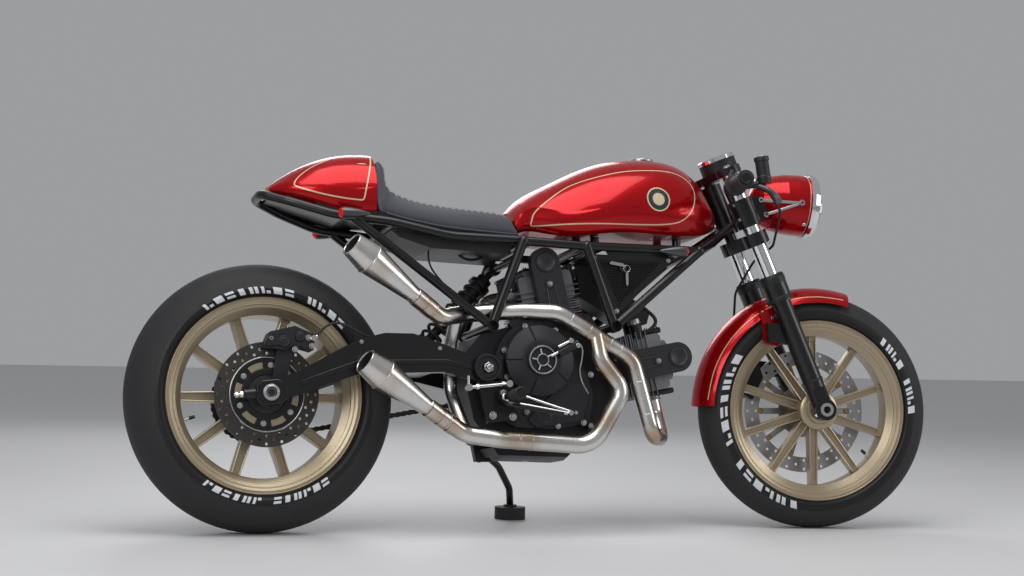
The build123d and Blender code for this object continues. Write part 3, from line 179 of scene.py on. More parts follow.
def tube(bm, points, radius, sides, smooth=True):
    """A bent tube along a guided path, as a row of joined circles."""
    path = smooth_path(points) if smooth else [Vector(p) for p in points]
    loops = []
    previous = None
    turn = None
    for i, p in enumerate(path):
        ahead = path[min(i + 1, len(path) - 1)] - path[max(i - 1, 0)]
        ahead.normalize()
        if previous is None:
            turn = Vector((0, 0, 1)).rotation_difference(ahead)
        else:
            turn = previous.rotation_difference(ahead) @ turn
        previous = ahead
        matrix = Matrix.Translation(p) @ turn.to_matrix().to_4x4()
        made = bmesh.ops.create_circle(
            bm, cap_ends=i in (0, len(path) - 1), segments=sides, radius=radius, matrix=matrix
        )
        edges = {e for v in made["verts"] for e in v.link_edges}
        loops.append(list(edges))
    for near, far in zip(loops, loops[1:]):
        bmesh.ops.bridge_loops(bm, edges=near + far)


def piece(bm, name, body, slot, finish=None, bevel=0.0, smooth_angle=40.0, closed=True):
    """Closes a mesh that was made on the upright motorcycle and hangs it on its body.

    The finish is the slot's own unless another is named.
    """
    bmesh.ops.remove_doubles(bm, verts=bm.verts, dist=WELD_DISTANCE)
    bmesh.ops.transform(bm, matrix=PLACES[body], verts=bm.verts)
    if closed:
        bmesh.ops.recalc_face_normals(bm, faces=bm.faces)
    mesh = bpy.data.meshes.new(name)
    bm.to_mesh(mesh)
    bm.free()
    mesh.materials.append(finish or FINISHES[slot])
    obj = bpy.data.objects.new(name, mesh)
    bpy.context.scene.collection.objects.link(obj)
    if bevel:
        chamfer = obj.modifiers.new("Chamfer", "BEVEL")
        chamfer.width = bevel * MM
        chamfer.segments = 2
        chamfer.limit_method = "ANGLE"
        chamfer.angle_limit = CHAMFER_FROM
    mesh.shade_smooth()
    mesh.set_sharp_from_angle(angle=math.radians(smooth_angle))
    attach(obj, body)
    return obj


# %% [markdown]
# ## Finishes
#
# No surface of a used machine is one flat colour. Cast metal has a fine grain, lacquer has slow
# changes of tone, and everything is a little duller where hands and dust have been. One node
# group holds that variation, so a finish is a short list of numbers instead of a new tree: its
# base colour and roughness go in, and a varied colour, roughness and height come out.

# %% The shared surface group


def new_group(name, inputs, outputs):
    """An empty shader node group with named sockets."""
    group = bpy.data.node_groups.new(name, "ShaderNodeTree")
    for label, kind, value in inputs:
        socket = group.interface.new_socket(label, in_out="INPUT", socket_type=kind)
        socket.default_value = value
    for label, kind in outputs:
        group.interface.new_socket(label, in_out="OUTPUT", socket_type=kind)
    entry = group.nodes.new("NodeGroupInput")
    leave = group.nodes.new("NodeGroupOutput")
    return group, entry, leave


def math_node(tree, operation, first, second, third=None):
    """One arithmetic node, with its sockets linked and its numbers set."""
    node = tree.nodes.new("ShaderNodeMath")
    node.operation = operation
    for slot_index, value in enumerate((first, second, third)):
        if value is None:
            continue
        if isinstance(value, (int, float)):
            node.inputs[slot_index].default_value = value
        else:
            tree.links.new(value, node.inputs[slot_index])
    return node.outputs[0]


def noise_node(tree, coordinates, scale, detail):
    """A noise texture whose scale is a number or a socket."""
    node = tree.nodes.new("ShaderNodeTexNoise")
    node.inputs["Detail"].default_value = detail
    tree.links.new(coordinates, node.inputs["Vector"])
    if isinstance(scale, (int, float)):
        node.inputs["Scale"].default_value = scale
    else:
        tree.links.new(scale, node.inputs["Scale"])
    return node.outputs["Fac"]


def mix_colour(tree, amount, first, second, blend="MIX"):
    """A colour mix, of which each argument is a value or a socket."""
    node = tree.nodes.new("ShaderNodeMix")
    node.data_type = "RGBA"
    node.blend_type = blend
    for label, value in ((0, amount), (6, first), (7, second)):
        if hasattr(value, "is_linked"):
            tree.links.new(value, node.inputs[label])
        elif label == 0:
            node.inputs[0].default_value = value
        else:
            node.inputs[label].default_value = (*value, 1) if len(value) == 3 else value
    return node.outputs[2]


def build_worn_surface():
    """Varied colour, roughness and height, from two sizes of noise."""
    group, entry, leave = new_group(
        "worn surface",
        [("Colour", "NodeSocketColor", (0.5, 0.5, 0.5, 1)), ("Roughness", "NodeSocketFloat", 0.4),
         ("Grain scale", "NodeSocketFloat", 900.0), ("Smudge scale", "NodeSocketFloat", 9.0),
         ("Tone spread", "NodeSocketFloat", 0.2), ("Gloss spread", "NodeSocketFloat", 0.15),
         ("Stretch", "NodeSocketVector", (1.0, 1.0, 1.0))],
        [("Colour", "NodeSocketColor"), ("Roughness", "NodeSocketFloat"), ("Height", "NodeSocketFloat")],
    )
    where = group.nodes.new("ShaderNodeTexCoord")
    stretched = group.nodes.new("ShaderNodeVectorMath")
    stretched.operation = "MULTIPLY"
    group.links.new(where.outputs["Object"], stretched.inputs[0])
    group.links.new(entry.outputs["Stretch"], stretched.inputs[1])
    grain = noise_node(group, stretched.outputs[0], entry.outputs["Grain scale"], 3.0)
    smudge = noise_node(group, where.outputs["Object"], entry.outputs["Smudge scale"], 5.0)
    tone = math_node(group, "MULTIPLY_ADD", smudge, entry.outputs["Tone spread"], 1.0)
    low = math_node(group, "MULTIPLY", entry.outputs["Tone spread"], -0.5)
    tone = math_node(group, "ADD", tone, low)
    shade = group.nodes.new("ShaderNodeCombineColor")
    for label in ("Red", "Green", "Blue"):
        group.links.new(tone, shade.inputs[label])
    colour = mix_colour(group, 1.0, entry.outputs["Colour"], shade.outputs[0], "MULTIPLY")
    both = math_node(group, "ADD", grain, smudge)
    centred = math_node(group, "SUBTRACT", both, 1.0)
    spread = entry.outputs["Gloss spread"]
    rough = math_node(group, "MULTIPLY_ADD", centred, spread, entry.outputs["Roughness"])
    group.links.new(colour, leave.inputs["Colour"])
    group.links.new(rough, leave.inputs["Roughness"])
    group.links.new(grain, leave.inputs["Height"])
    return group


WORN_SURFACE = build_worn_surface()

# %% [markdown]
# A finish is a Principled shader with the group in front of it. Values that stay the same all
# over, such as the strength of a clear coat, are set on the shader itself.

# %% The finish maker


def finish(name, colour, metallic, roughness, grain=900.0, bump=0.02, tone=0.2, gloss=0.12,
           stretch=(1, 1, 1), smudge=9.0, **fixed):
    """A material with the worn surface in front of its shader."""
    material = bpy.data.materials.new(name)
    material.use_nodes = True
    tree = material.node_tree
    shader = tree.nodes["Principled BSDF"]
    worn = tree.nodes.new("ShaderNodeGroup")
    worn.node_tree = WORN_SURFACE
    worn.inputs["Colour"].default_value = (*colour, 1)
    worn.inputs["Roughness"].default_value = roughness
    worn.inputs["Grain scale"].default_value = grain
    worn.inputs["Smudge scale"].default_value = smudge
    worn.inputs["Tone spread"].default_value = tone
    worn.inputs["Gloss spread"].default_value = gloss
    worn.inputs["Stretch"].default_value = stretch
    tree.links.new(worn.outputs["Colour"], shader.inputs["Base Color"])
    tree.links.new(worn.outputs["Roughness"], shader.inputs["Roughness"])
    shader.inputs["Metallic"].default_value = metallic
    for label, value in fixed.items():
        shader.inputs[label.replace("_", " ")].default_value = value
    if bump:
        relief = tree.nodes.new("ShaderNodeBump")
        relief.inputs["Strength"].default_value = bump
        relief.inputs["Distance"].default_value = 0.001
        tree.links.new(worn.outputs["Height"], relief.inputs["Height"])
        tree.links.new(relief.outputs["Normal"], shader.inputs["Normal"])
    return material


FINISHES = {
    "candy_red": finish(
        "candy red lacquer", (0.40, 0.002, 0.005), 0.55, 0.24, grain=2500, bump=0.02, tone=0.12,
        gloss=0.06, Coat_Weight=0.35, Coat_Roughness=0.03, Specular_IOR_Level=0.1,
    ),
    "frame_black": finish(
        "satin black powder coat", (0.005, 0.005, 0.006), 0.0, 0.30, grain=1400, bump=0.04,
        tone=0.25, Coat_Weight=0.25, Coat_Roughness=0.12, Specular_IOR_Level=0.35,
    ),
    "engine_black": finish(
        "black cast alloy", (0.013, 0.0135, 0.016), 0.3, 0.44, grain=1800, bump=0.22, tone=0.3,
    ),
    "cast_gold": finish(
        "champagne gold on cast alloy", (0.40, 0.325, 0.22), 0.8, 0.36, grain=1500, bump=0.08,
        tone=0.15, Coat_Weight=0.3, Coat_Roughness=0.2,
    ),
    "tyre_rubber": finish(
        "road tyre rubber", (0.007, 0.007, 0.008), 0.0, 0.5, grain=700, bump=0.1, tone=0.3, gloss=0.2,
    ),
    "bright_steel": finish(
        "ground steel", (0.46, 0.46, 0.47), 1.0, 0.34, grain=900, bump=0.04, tone=0.2,
    ),
    "chrome_plate": finish(
        "polished chrome", (0.78, 0.79, 0.82), 1.0, 0.05, grain=500, bump=0.0, tone=0.05, gloss=0.03,
    ),
    "raw_alloy": finish(
        "machined alloy", (0.42, 0.42, 0.43), 0.9, 0.34, grain=1400, bump=0.08, tone=0.2,
    ),
    "soft_rubber": finish(
        "moulded rubber", (0.013, 0.013, 0.014), 0.0, 0.62, grain=900, bump=0.15, tone=0.3,
    ),
    "dark_plastic": finish(
        "moulded plastic", (0.010, 0.0102, 0.012), 0.0, 0.42, grain=2200, bump=0.12, tone=0.2,
    ),
}
CREAM = finish("cream pinstripe paint", (0.62, 0.50, 0.30), 0.0, 0.3, bump=0.0, tone=0.1, Coat_Weight=0.8)
WHITE_PRINT = finish("white rubber print", (0.62, 0.63, 0.66), 0.0, 0.6, grain=600, bump=0.1, tone=0.25)
SIGNAL_STEEL = finish("smoked lamp steel", (0.10, 0.10, 0.105), 0.9, 0.34, grain=1100, bump=0.05, tone=0.2)
LEVER_ALLOY = finish("bead blasted alloy", (0.14, 0.14, 0.15), 0.8, 0.45, grain=1600, bump=0.12, tone=0.25)
# Near-black and rough: painted shade for the insides of hollows, sockets and openings; in the muffler mouths it
# also stands for soot.
SHADE_AND_SOOT_BLACK = finish("painted shade and soot black", (0.006, 0.006, 0.006), 0.0, 0.8, bump=0.05, tone=0.3)
DARK_DISC = finish("heat darkened brake steel", (0.055, 0.05, 0.047), 0.7, 0.42, bump=0.05, tone=0.4)
RAW_HEAD = finish("sand cast alloy", (0.20, 0.20, 0.21), 0.75, 0.42, grain=1300, bump=0.3, tone=0.35)
BOLT_STEEL = finish("polished bolt steel", (0.62, 0.61, 0.60), 1.0, 0.18, bump=0.0, tone=0.1)
BRASS = finish("dull brass", (0.48, 0.33, 0.14), 0.9, 0.4, bump=0.05)
DIAL_PAINT = finish("matt dial paint", (0.02, 0.02, 0.022), 0.0, 0.5, bump=0.0)

# %% [markdown]
# A tyre has two rubbers to look at: the smooth black sidewall, which carries the print, and the
# tread, greyer and scuffed by the road. The border between them is a circle round the axle, so a
# group measures the distance from the axle's line and the finish blends at one radius.

# %% The tyre finish


def build_axle_band():
    """A mask that is 0 inside a circle round an axle and 1 outside it."""
    group, entry, leave = new_group(
        "axle band",
        [("Centre", "NodeSocketVector", (0.0, 0.0, 0.0)), ("Axle", "NodeSocketVector", (0.0, 1.0, 0.0)),
         ("Radius", "NodeSocketFloat", 0.25), ("Blend", "NodeSocketFloat", 0.004)],
        [("Mask", "NodeSocketFloat")],
    )
    where = group.nodes.new("ShaderNodeTexCoord")
    source = where.outputs["Object"]
    for operation, socket in (("SUBTRACT", "Centre"), ("CROSS_PRODUCT", "Axle")):
        step = group.nodes.new("ShaderNodeVectorMath")
        step.operation = operation
        group.links.new(source, step.inputs[0])
        group.links.new(entry.outputs[socket], step.inputs[1])
        source = step.outputs[0]
    length = group.nodes.new("ShaderNodeVectorMath")
    length.operation = "LENGTH"
    group.links.new(source, length.inputs[0])
    beyond = math_node(group, "SUBTRACT", length.outputs["Value"], entry.outputs["Radius"])
    share = math_node(group, "DIVIDE", beyond, entry.outputs["Blend"])
    share = math_node(group, "MINIMUM", share, 1.0)
    share = math_node(group, "MAXIMUM", share, 0.0)
    group.links.new(share, leave.inputs["Mask"])
    return group


AXLE_BAND = build_axle_band()
TREAD_COLOUR = (0.026, 0.026, 0.028)
TREAD_FROM = 0.256
TREAD_ROUGHER = 0.22


def tyre_finish(name, wheel_joint):
    """Smooth black sidewall rubber that turns into scuffed tread beyond a radius."""
    material = finish(name, (0.0055, 0.0055, 0.0062), 0.0, 0.46, grain=1500, bump=0.12, tone=0.3, gloss=0.15)
    tree = material.node_tree
    shader = tree.nodes["Principled BSDF"]
    shader.inputs["Specular IOR Level"].default_value = 0.35
    band = tree.nodes.new("ShaderNodeGroup")
    band.node_tree = AXLE_BAND
    band.inputs["Centre"].default_value = joints[wheel_joint]["pos_m"]
    band.inputs["Axle"].default_value = Vector(joints[wheel_joint]["axis"]).normalized()
    band.inputs["Radius"].default_value = TREAD_FROM
    where = tree.nodes.new("ShaderNodeTexCoord")
    scuffs = noise_node(tree, where.outputs["Object"], 260.0, 6.0)
    wear = math_node(tree, "MULTIPLY_ADD", scuffs, 1.1, 0.25)
    share = math_node(tree, "MULTIPLY", band.outputs["Mask"], wear)
    plain = shader.inputs["Base Color"].links[0].from_socket
    tree.links.new(mix_colour(tree, share, plain, TREAD_COLOUR), shader.inputs["Base Color"])
    rough = shader.inputs["Roughness"].links[0].from_socket
    rougher = math_node(tree, "MULTIPLY_ADD", band.outputs["Mask"], TREAD_ROUGHER, rough)
    tree.links.new(rougher, shader.inputs["Roughness"])
    return material


# %% [markdown]
# Stainless exhaust pipe is brushed along its length and goes straw coloured beside every weld.
# The tint is a soft ball of colour around each weld's place, so a second group measures the
# distance from a point and turns it into a mask; the finish holds one copy of it per weld.

# %% The heat tint group


def build_heat_spot():
    """A mask that is 1 at a point and fades out to 0 at a distance."""
    group, entry, leave = new_group(
        "heat spot",
        [("Centre", "NodeSocketVector", (0.0, 0.0, 0.0)), ("Reach", "NodeSocketFloat", 0.03)],
        [("Mask", "NodeSocketFloat")],
    )
    where = group.nodes.new("ShaderNodeTexCoord")
    gap = group.nodes.new("ShaderNodeVectorMath")
    gap.operation = "DISTANCE"
    group.links.new(where.outputs["Object"], gap.inputs[0])
    group.links.new(entry.outputs["Centre"], gap.inputs[1])
    share = math_node(group, "DIVIDE", gap.outputs["Value"], entry.outputs["Reach"])
    mask = math_node(group, "SUBTRACT", 1.0, share)
    mask = math_node(group, "MAXIMUM", mask, 0.0)
    group.links.new(mask, leave.inputs["Mask"])
    return group


HEAT_SPOT = build_heat_spot()
HEAT_REACH = 0.048
STRAW = (0.36, 0.22, 0.10)


def heated_steel(name, weld_places):
    """Brushed stainless steel with a straw tint around each weld."""
    material = finish(name, (0.68, 0.66, 0.63), 1.0, 0.27, grain=420, bump=0.05, tone=0.18,
                      gloss=0.14, stretch=(1, 6, 6))
    tree = material.node_tree
    shader = tree.nodes["Principled BSDF"]
    plain = shader.inputs["Base Color"].links[0].from_socket
    total = None
    for place in weld_places:
        spot = tree.nodes.new("ShaderNodeGroup")
        spot.node_tree = HEAT_SPOT
        spot.inputs["Centre"].default_value = CHASSIS @ Vector(place)
        spot.inputs["Reach"].default_value = HEAT_REACH
        total = spot.outputs[0] if total is None else math_node(tree, "MAXIMUM", total, spot.outputs[0])
    tint = mix_colour(tree, total, plain, STRAW)
    tree.links.new(tint, shader.inputs["Base Color"])
    return material


# %% [markdown]
# Glass and lamp lenses are clear materials of their own: thin, smooth and a little tinted.

# %% Glass and lenses


def clear_material(name, colour, roughness, painted_glow=0.0):
    """A see-through material. A painted glow makes it shine faintly, standing in for the daylight that a lens
    catches.
    """
    material = bpy.data.materials.new(name)
    material.use_nodes = True
    shader = material.node_tree.nodes["Principled BSDF"]
    shader.inputs["Base Color"].default_value = (*colour, 1)
    shader.inputs["Roughness"].default_value = roughness
    shader.inputs["Transmission Weight"].default_value = 0.9
    shader.inputs["IOR"].default_value = 1.45
    shader.inputs["Emission Color"].default_value = (*colour, 1)
    shader.inputs["Emission Strength"].default_value = painted_glow
    return material


GLASS = clear_material("clear lamp glass", (0.95, 0.97, 1.0), 0.02)
# The red lenses carry a faint painted glow: painted light for the daylight they catch, not a lit lamp.
RED_LENS = clear_material("red lens", (0.75, 0.01, 0.01), 0.12, 0.15)
FINISHES["clear_glass"] = GLASS

# %% Give every node of the frame its finish
NODE_FINISH = {
    "cylinders": RAW_HEAD,
    "rear_disc": DARK_DISC,
    "drive_chain": DARK_DISC,
    "handlebars": FINISHES["frame_black"],
    "rear_tyre": tyre_finish("rear tyre rubber", "rear_wheel_spin"),
    "front_tyre": tyre_finish("front tyre rubber", "front_wheel_spin"),
}
LOWER_WELDS = [
    (810.7, -150.0, 369.2), (837.5, -150.0, 388.3), (824.6, -150.0, 258.3), (798.5, -150.0, 264.3),
    (578.3, -148.0, 214.1), (613.4, -149.0, 218.8), (393.0, -152.0, 272.0), (430.0, -141.0, 248.0),
]
UPPER_WELDS = [
    (779.8, -137.0, 460.0), (812.0, -137.0, 450.0), (364.0, -150.0, 534.0), (388.0, -143.0, 517.0),
    (944.0, -136.0, 224.0), (896.0, -134.0, 412.0),
]
MUFFLER_MARKS = [
    (364.0, -150.0, 534.0), (243.0, -186.0, 616.0), (393.0, -152.0, 272.0), (266.0, -188.0, 352.0),
]
FINISHES["steel_exhaust"] = heated_steel("brushed exhaust steel", LOWER_WELDS + UPPER_WELDS)
MUFFLER_STEEL = heated_steel("brushed muffler steel", MUFFLER_MARKS)
NODE_FINISH["upper_muffler"] = MUFFLER_STEEL
NODE_FINISH["lower_muffler"] = MUFFLER_STEEL
for row in frame["record"]["subparts"]:
    chosen = NODE_FINISH.get(row["node"]) or FINISHES.get(row["material_slot"])
    if chosen is None:
        continue
    mesh = frame["nodes"][row["node"]].data
    mesh.materials.clear()
    mesh.materials.append(chosen)

# %% [markdown]
# ## Camera, light and floor
#
# The camera stands where the photographer's did: about four and a half metres to the right of
# the machine and half a metre above the floor, with a lens that gives its angle of view. The
# light is plain: a large soft lamp above, three smaller ones round the machine and a pale world.

# %% Camera, lamps and floor
CAMERA_AT = Vector((-1.514282, -4.538095, 0.507701))
YAW, PITCH, ROLL = math.radians(17.68), math.radians(1.06), math.radians(1.41)
FOCAL_PIXELS = 1900.6
IMAGE_WIDTH = 1024
ahead = Vector((math.sin(YAW) * math.cos(PITCH), math.cos(YAW) * math.cos(PITCH), math.sin(PITCH)))
level = Vector((math.cos(YAW), -math.sin(YAW), 0.0))
over = level.cross(ahead)
right = level * math.cos(ROLL) + over * math.sin(ROLL)
upward = over * math.cos(ROLL) - level * math.sin(ROLL)
camera_data = bpy.data.cameras.new("Camera")
camera_data.sensor_width = 36.0
camera_data.lens = camera_data.sensor_width * FOCAL_PIXELS / IMAGE_WIDTH
camera = bpy.data.objects.new("Camera", camera_data)
camera_turn = Matrix((right, upward, -ahead)).transposed().to_4x4()
camera.matrix_world = Matrix.Translation(CAMERA_AT) @ camera_turn
bpy.context.scene.collection.objects.link(camera)
bpy.context.scene.camera = camera


def area_lamp(name, place, size, power):
    """A soft square lamp that looks at the machine's middle."""
    data = bpy.data.lights.new(name, "AREA")
    data.size = size
    data.energy = power
    lamp = bpy.data.objects.new(name, data)
    lamp.location = place
    aim = (Vector((0.0, 0.0, 0.45)) - Vector(place)).to_track_quat("-Z", "Y")
    lamp.rotation_euler = aim.to_euler()
    bpy.context.scene.collection.objects.link(lamp)


LAMPS = [
    # name, place, size, power
    ("Overhead", (-0.3, -0.8, 3.2), 2.4, 62.0),
    ("Front side", (-2.6, -3.0, 2.2), 1.8, 40.0),
    ("Nose side", (3.2, -1.8, 1.6), 1.4, 22.0),
    ("Far side", (0.4, 3.4, 2.4), 1.8, 30.0),
]
for lamp_row in LAMPS:
    area_lamp(*lamp_row)

world = bpy.data.worlds.new("Studio")
bpy.context.scene.world = world
world.use_nodes = True
world.node_tree.nodes["Background"].inputs["Color"].default_value = (0.80, 0.81, 0.83, 1)
world.node_tree.nodes["Background"].inputs["Strength"].default_value = 0.42

floor_bm = bmesh.new()
bmesh.ops.create_grid(floor_bm, x_segments=2, y_segments=2, size=14.0)
floor_mesh = bpy.data.meshes.new("Floor")
floor_bm.to_mesh(floor_mesh)
floor_bm.free()
floor = bpy.data.objects.new("Floor", floor_mesh)
floor_mesh.materials.append(finish(
    "pale studio floor", (0.62, 0.62, 0.63), 0.0, 0.55, grain=60, bump=0.02, tone=0.06, smudge=0.8
))
bpy.context.scene.collection.objects.link(floor)
bpy.context.scene.view_settings.view_transform = "Standard"

# %% [markdown]
# ## Things painted on a curved surface
#
# A painted line follows the panel it is on. To draw one, a guide curve is held in front of the
# panel and each of its points is thrown onto the surface, where a thin ribbon is laid. The throw
# starts at the camera, so that a line which was measured on the photograph lands where it should,
# and the other side gets the mirror image. This was chosen over a painted texture because it
# needs no image and stays sharp at any distance.

# %% Throwing points onto a node's surface
depsgraph = bpy.context.evaluated_depsgraph_get()
SURFACES = {}
PAINT_LIFT = 0.4


def surface(node):
    """The search tree of a node's mesh, made once."""
    if node not in SURFACES:
        SURFACES[node] = BVHTree.FromObject(frame["nodes"][node], depsgraph)
    return SURFACES[node]


def thrown(node, place, point, direction=None, lift=PAINT_LIFT):
    """Where a point lands on a node, and the surface's normal there, on the upright motorcycle."""
    inverse = place.inverted()
    aim_at = place @ Vector(point)
    if direction is None:
        start, way = CAMERA_AT, (aim_at - CAMERA_AT).normalized()
    else:
        start, way = aim_at, (place.to_3x3() @ Vector(direction)).normalized()
    hit, normal, _, _ = surface(node).ray_cast(start, way)
    if hit is None:
        hit, normal, _, _ = surface(node).find_nearest(aim_at)
    if normal.dot(way) > 0:
        normal = -normal
    local = inverse @ (hit + normal * lift * MM)
    return local, (inverse.to_3x3() @ normal).normalized()


def mirrored(node, place, spot):
    """The same place on the other side of the motorcycle, snapped to the surface."""
    inverse = place.inverted()
    other = place @ Vector((spot.x, -spot.y, spot.z))
    hit, normal, _, _ = surface(node).find_nearest(other)
    outward = place.to_3x3() @ Vector((0, 1, 0))
    if normal.dot(outward) < 0 and abs(spot.y) > 20:
        normal = -normal
    return inverse @ (hit + normal * PAINT_LIFT * MM), (inverse.to_3x3() @ normal).normalized()


def ribbon(bm, spots, width, cyclic):
    """A flat band along (point, normal) pairs, grown from its own left edge."""
    count = len(spots)
    sides = {}
    left = []
    for i, (p, normal) in enumerate(spots):
        after = spots[(i + 1) % count][0] if cyclic or i + 1 < count else p
        before = spots[i - 1][0] if cyclic or i else p
        aside = normal.cross((after - before).normalized()).normalized() * width / 2
        vert = bm.verts.new(p - aside)
        sides[vert] = (aside * 2, normal)
        left.append(vert)
    last = count if cyclic else count - 1
    edges = [bm.edges.new((left[i], left[(i + 1) % count])) for i in range(last)]
    starts = {tuple(round(c, 3) for c in v.co): v for v in left}
    grown = bmesh.ops.extrude_edge_only(bm, edges=edges)
    fresh = [g for g in grown["geom"] if isinstance(g, bmesh.types.BMVert)]
    for v in fresh:
        source = starts[tuple(round(c, 3) for c in v.co)]
        v.co += sides[source][0]
    bm.normal_update()
    faces = [g for g in grown["geom"] if isinstance(g, bmesh.types.BMFace)]
    wrong = [f for f in faces if f.normal.dot(sides_near(f, sides)) < 0]
    bmesh.ops.reverse_faces(bm, faces=wrong)


def sides_near(face, sides):
    """The surface normal that was kept for one of a ribbon face's vertices."""
    for v in face.verts:
        if v in sides:
            return sides[v][1]
    return face.normal


def pinstripe(name, node, body, guide, width=3.4, cyclic=True):
    """A painted line on both sides of a node, from guide points seen by the camera."""
    place = PLACES[body]
    spots = [thrown(node, place, p) for p in smooth_path(guide, cyclic)]
    bm = bmesh.new()
    ribbon(bm, spots, width, cyclic)
    ribbon(bm, [mirrored(node, place, p) for p, _ in spots], width, cyclic)
    print(name, "guide points", len(spots))
    piece(bm, name, body, "candy_red", finish=CREAM, closed=False)


# %% Painted lines on the tank, the tail and the fender
TANK_LINE = [
    (639, 742), (645, 764), (672, 788), (722, 827), (770, 848), (826, 865), (875, 877), (924, 883),
    (991, 885), (1030, 877), (1060, 858), (1074, 828), (1067, 789), (1040, 760), (999, 749), (912, 746),
    (824, 746), (735, 741), (652, 732), (637, 732),
]
pinstripe("tank_pinstripe", "fuel_tank", "chassis", [(x, -140.0, z) for x, z in TANK_LINE])
TAIL_LINE = [
    (62, 818), (72, 834), (97, 855), (132, 874), (175, 888), (222, 895), (246, 895), (249, 880),
    (246, 855), (240, 825), (236, 803), (232, 786), (222, 786), (190, 788), (140, 795), (98, 804), (66, 812),
]
pinstripe("tail_pinstripe", "tail_cowl", "chassis", [(x, -100.0, z) for x, z in TAIL_LINE])
FENDER_LINE_R = 292.0
fender_angles = [math.radians(a) for a in range(76, 176, 9)]
fender_line = [
    (FRONT_AXLE.x + FENDER_LINE_R * math.cos(a), -58.0, FRONT_AXLE.z + FENDER_LINE_R * math.sin(a))
    for a in fender_angles
]
pinstripe("fender_pinstripe", "front_fender", "steering", fender_line, width=2.6, cyclic=False)


# %% [markdown]
# The badge on each side of the tank is left plain: a cream disc, a thin chrome ring, a dark field
# and a cream rim. Each is a set of circles laid onto the curved steel and joined to the next.

# %% Plain badges on the tank
BADGE_AT = (970.0, -150.0, 811.0)
BADGE_BANDS = [
    # name, inner radius, outer radius, finish
    ("badge_disc", 0.0, 15.0, CREAM), ("badge_inner_ring", 15.0, 17.0, FINISHES["chrome_plate"]),
    ("badge_field", 17.0, 28.0, DIAL_PAINT), ("badge_rim", 28.0, 31.5, CREAM),
]
badge_spot, badge_normal = thrown("fuel_tank", CHASSIS, BADGE_AT)


def badge_band(bm, centre, normal, inner, outer, side):
    """One ring of the badge, laid onto the tank."""
    aside = normal.cross(Vector((0, 0, 1))).normalized()
    rise = aside.cross(normal).normalized()
    steps = max(2, int((outer - inner) / 3) + 1)
    rings = []
    for i in range(steps + 1):
        r = max(inner + (outer - inner) * i / steps, 0.3)
        made = bmesh.ops.create_circle(bm, segments=48, radius=r)
        edges = {e for v in made["verts"] for e in v.link_edges}
        for v in made["verts"]:
            start = centre + normal * 40 + aside * v.co.x + rise * v.co.y
            v.co = thrown("fuel_tank", CHASSIS, start, -normal, 0.8)[0]
        rings.append(list(edges))
    for near, far in zip(rings, rings[1:]):
        bmesh.ops.bridge_loops(bm, edges=near + far)
    bm.normal_update()
    wrong = [f for f in bm.faces if f.normal.y * side < 0]
    bmesh.ops.reverse_faces(bm, faces=wrong)


for name, inner, outer, paint in BADGE_BANDS:
    for side, tag in ((-1, "right"), (1, "left")):
        bm = bmesh.new()
        flip = Vector((1, -side, 1))
        badge_band(bm, badge_spot * flip, badge_normal * flip, inner, outer, side)
        piece(bm, f"{name}_{tag}", "chassis", "raw_alloy", finish=paint, closed=False)

# %% [markdown]
# ## Tyres
#
# The sidewalls carry bold white print. Real print is lettering, and this machine is left without
# any, so slanted blocks in the same arcs stand for it: each is a small grid whose vertices are
# thrown onto the rubber, which keeps them flat on the swelling sidewall.

# %% Print blocks on the sidewalls
BLOCKS = [
    # rectangles inside a block's own place: from and to along the arc, from and to outwards
    [(0.10, 0.84, 0.0, 1.0)],
    [(0.10, 0.40, 0.0, 1.0), (0.54, 0.84, 0.0, 1.0)],
    [(0.10, 0.84, 0.0, 0.36), (0.10, 0.84, 0.62, 1.0)],
    [(0.10, 0.36, 0.0, 1.0), (0.50, 0.84, 0.0, 0.42)],
    [(0.22, 0.70, 0.0, 1.0)],
]
SLANT = 0.16


def print_arc(bm, node, place, axle, side, start, end, count, gap_at, radius, height):
    """Slanted blocks along an arc, given in degrees, with one empty place."""
    step = (end - start) / count
    for i in range(count):
        if i == gap_at:
            continue
        for x_from, x_to, low, high in BLOCKS[(i * 7 + count) % len(BLOCKS)]:
            made = bmesh.ops.create_grid(bm, x_segments=2, y_segments=3, size=0.5)
            for v in made["verts"]:
                share = x_from + (v.co.x + 0.5) * (x_to - x_from)
                level = low + (v.co.y + 0.5) * (high - low)
                angle = math.radians(start + (i + share - SLANT * level) * step)
                r = radius + (level - 0.5) * height
                start_at = axle + Vector((math.cos(angle) * r, side * 150.0, math.sin(angle) * r))
                v.co = thrown(node, place, start_at, (0, -side, 0), 0.5)[0]
    bm.normal_update()
    wrong = [f for f in bm.faces if f.normal.y * side < 0]
    bmesh.ops.reverse_faces(bm, faces=wrong)


PRINT_ARCS = [
    # name, node, body, axle, radius, height, arcs of (start, end, blocks, empty place)
    ("rear_print", "rear_tyre", "rear_wheel", REAR_AXLE, 246.0, 15.0,
     [(126.0, 40.0, 13, 8), (-125.0, -52.0, 13, 6)]),
    ("front_print", "front_tyre", "front_wheel", FRONT_AXLE, 249.5, 18.0,
     [(47.0, -3.0, 9, 4), (-103.0, -216.0, 14, 6)]),
]
for name, node, body, axle, radius, height, arcs in PRINT_ARCS:
    for side, tag in ((-1, "right"), (1, "left")):
        bm = bmesh.new()
        for start, end, count, gap_at in arcs:
            print_arc(bm, node, PLACES[body], axle, side, start, end, count, gap_at, radius, height)
        piece(bm, f"{name}_{tag}", body, "tyre_rubber", finish=WHITE_PRINT, closed=False)

# %% [markdown]
# ## Wheel hardware
#
# Bolts are the smallest things that the eye still counts. One helper makes a socket-head bolt:
# a short turned head with a round pocket, standing on a thin washer.

# %% Bolts


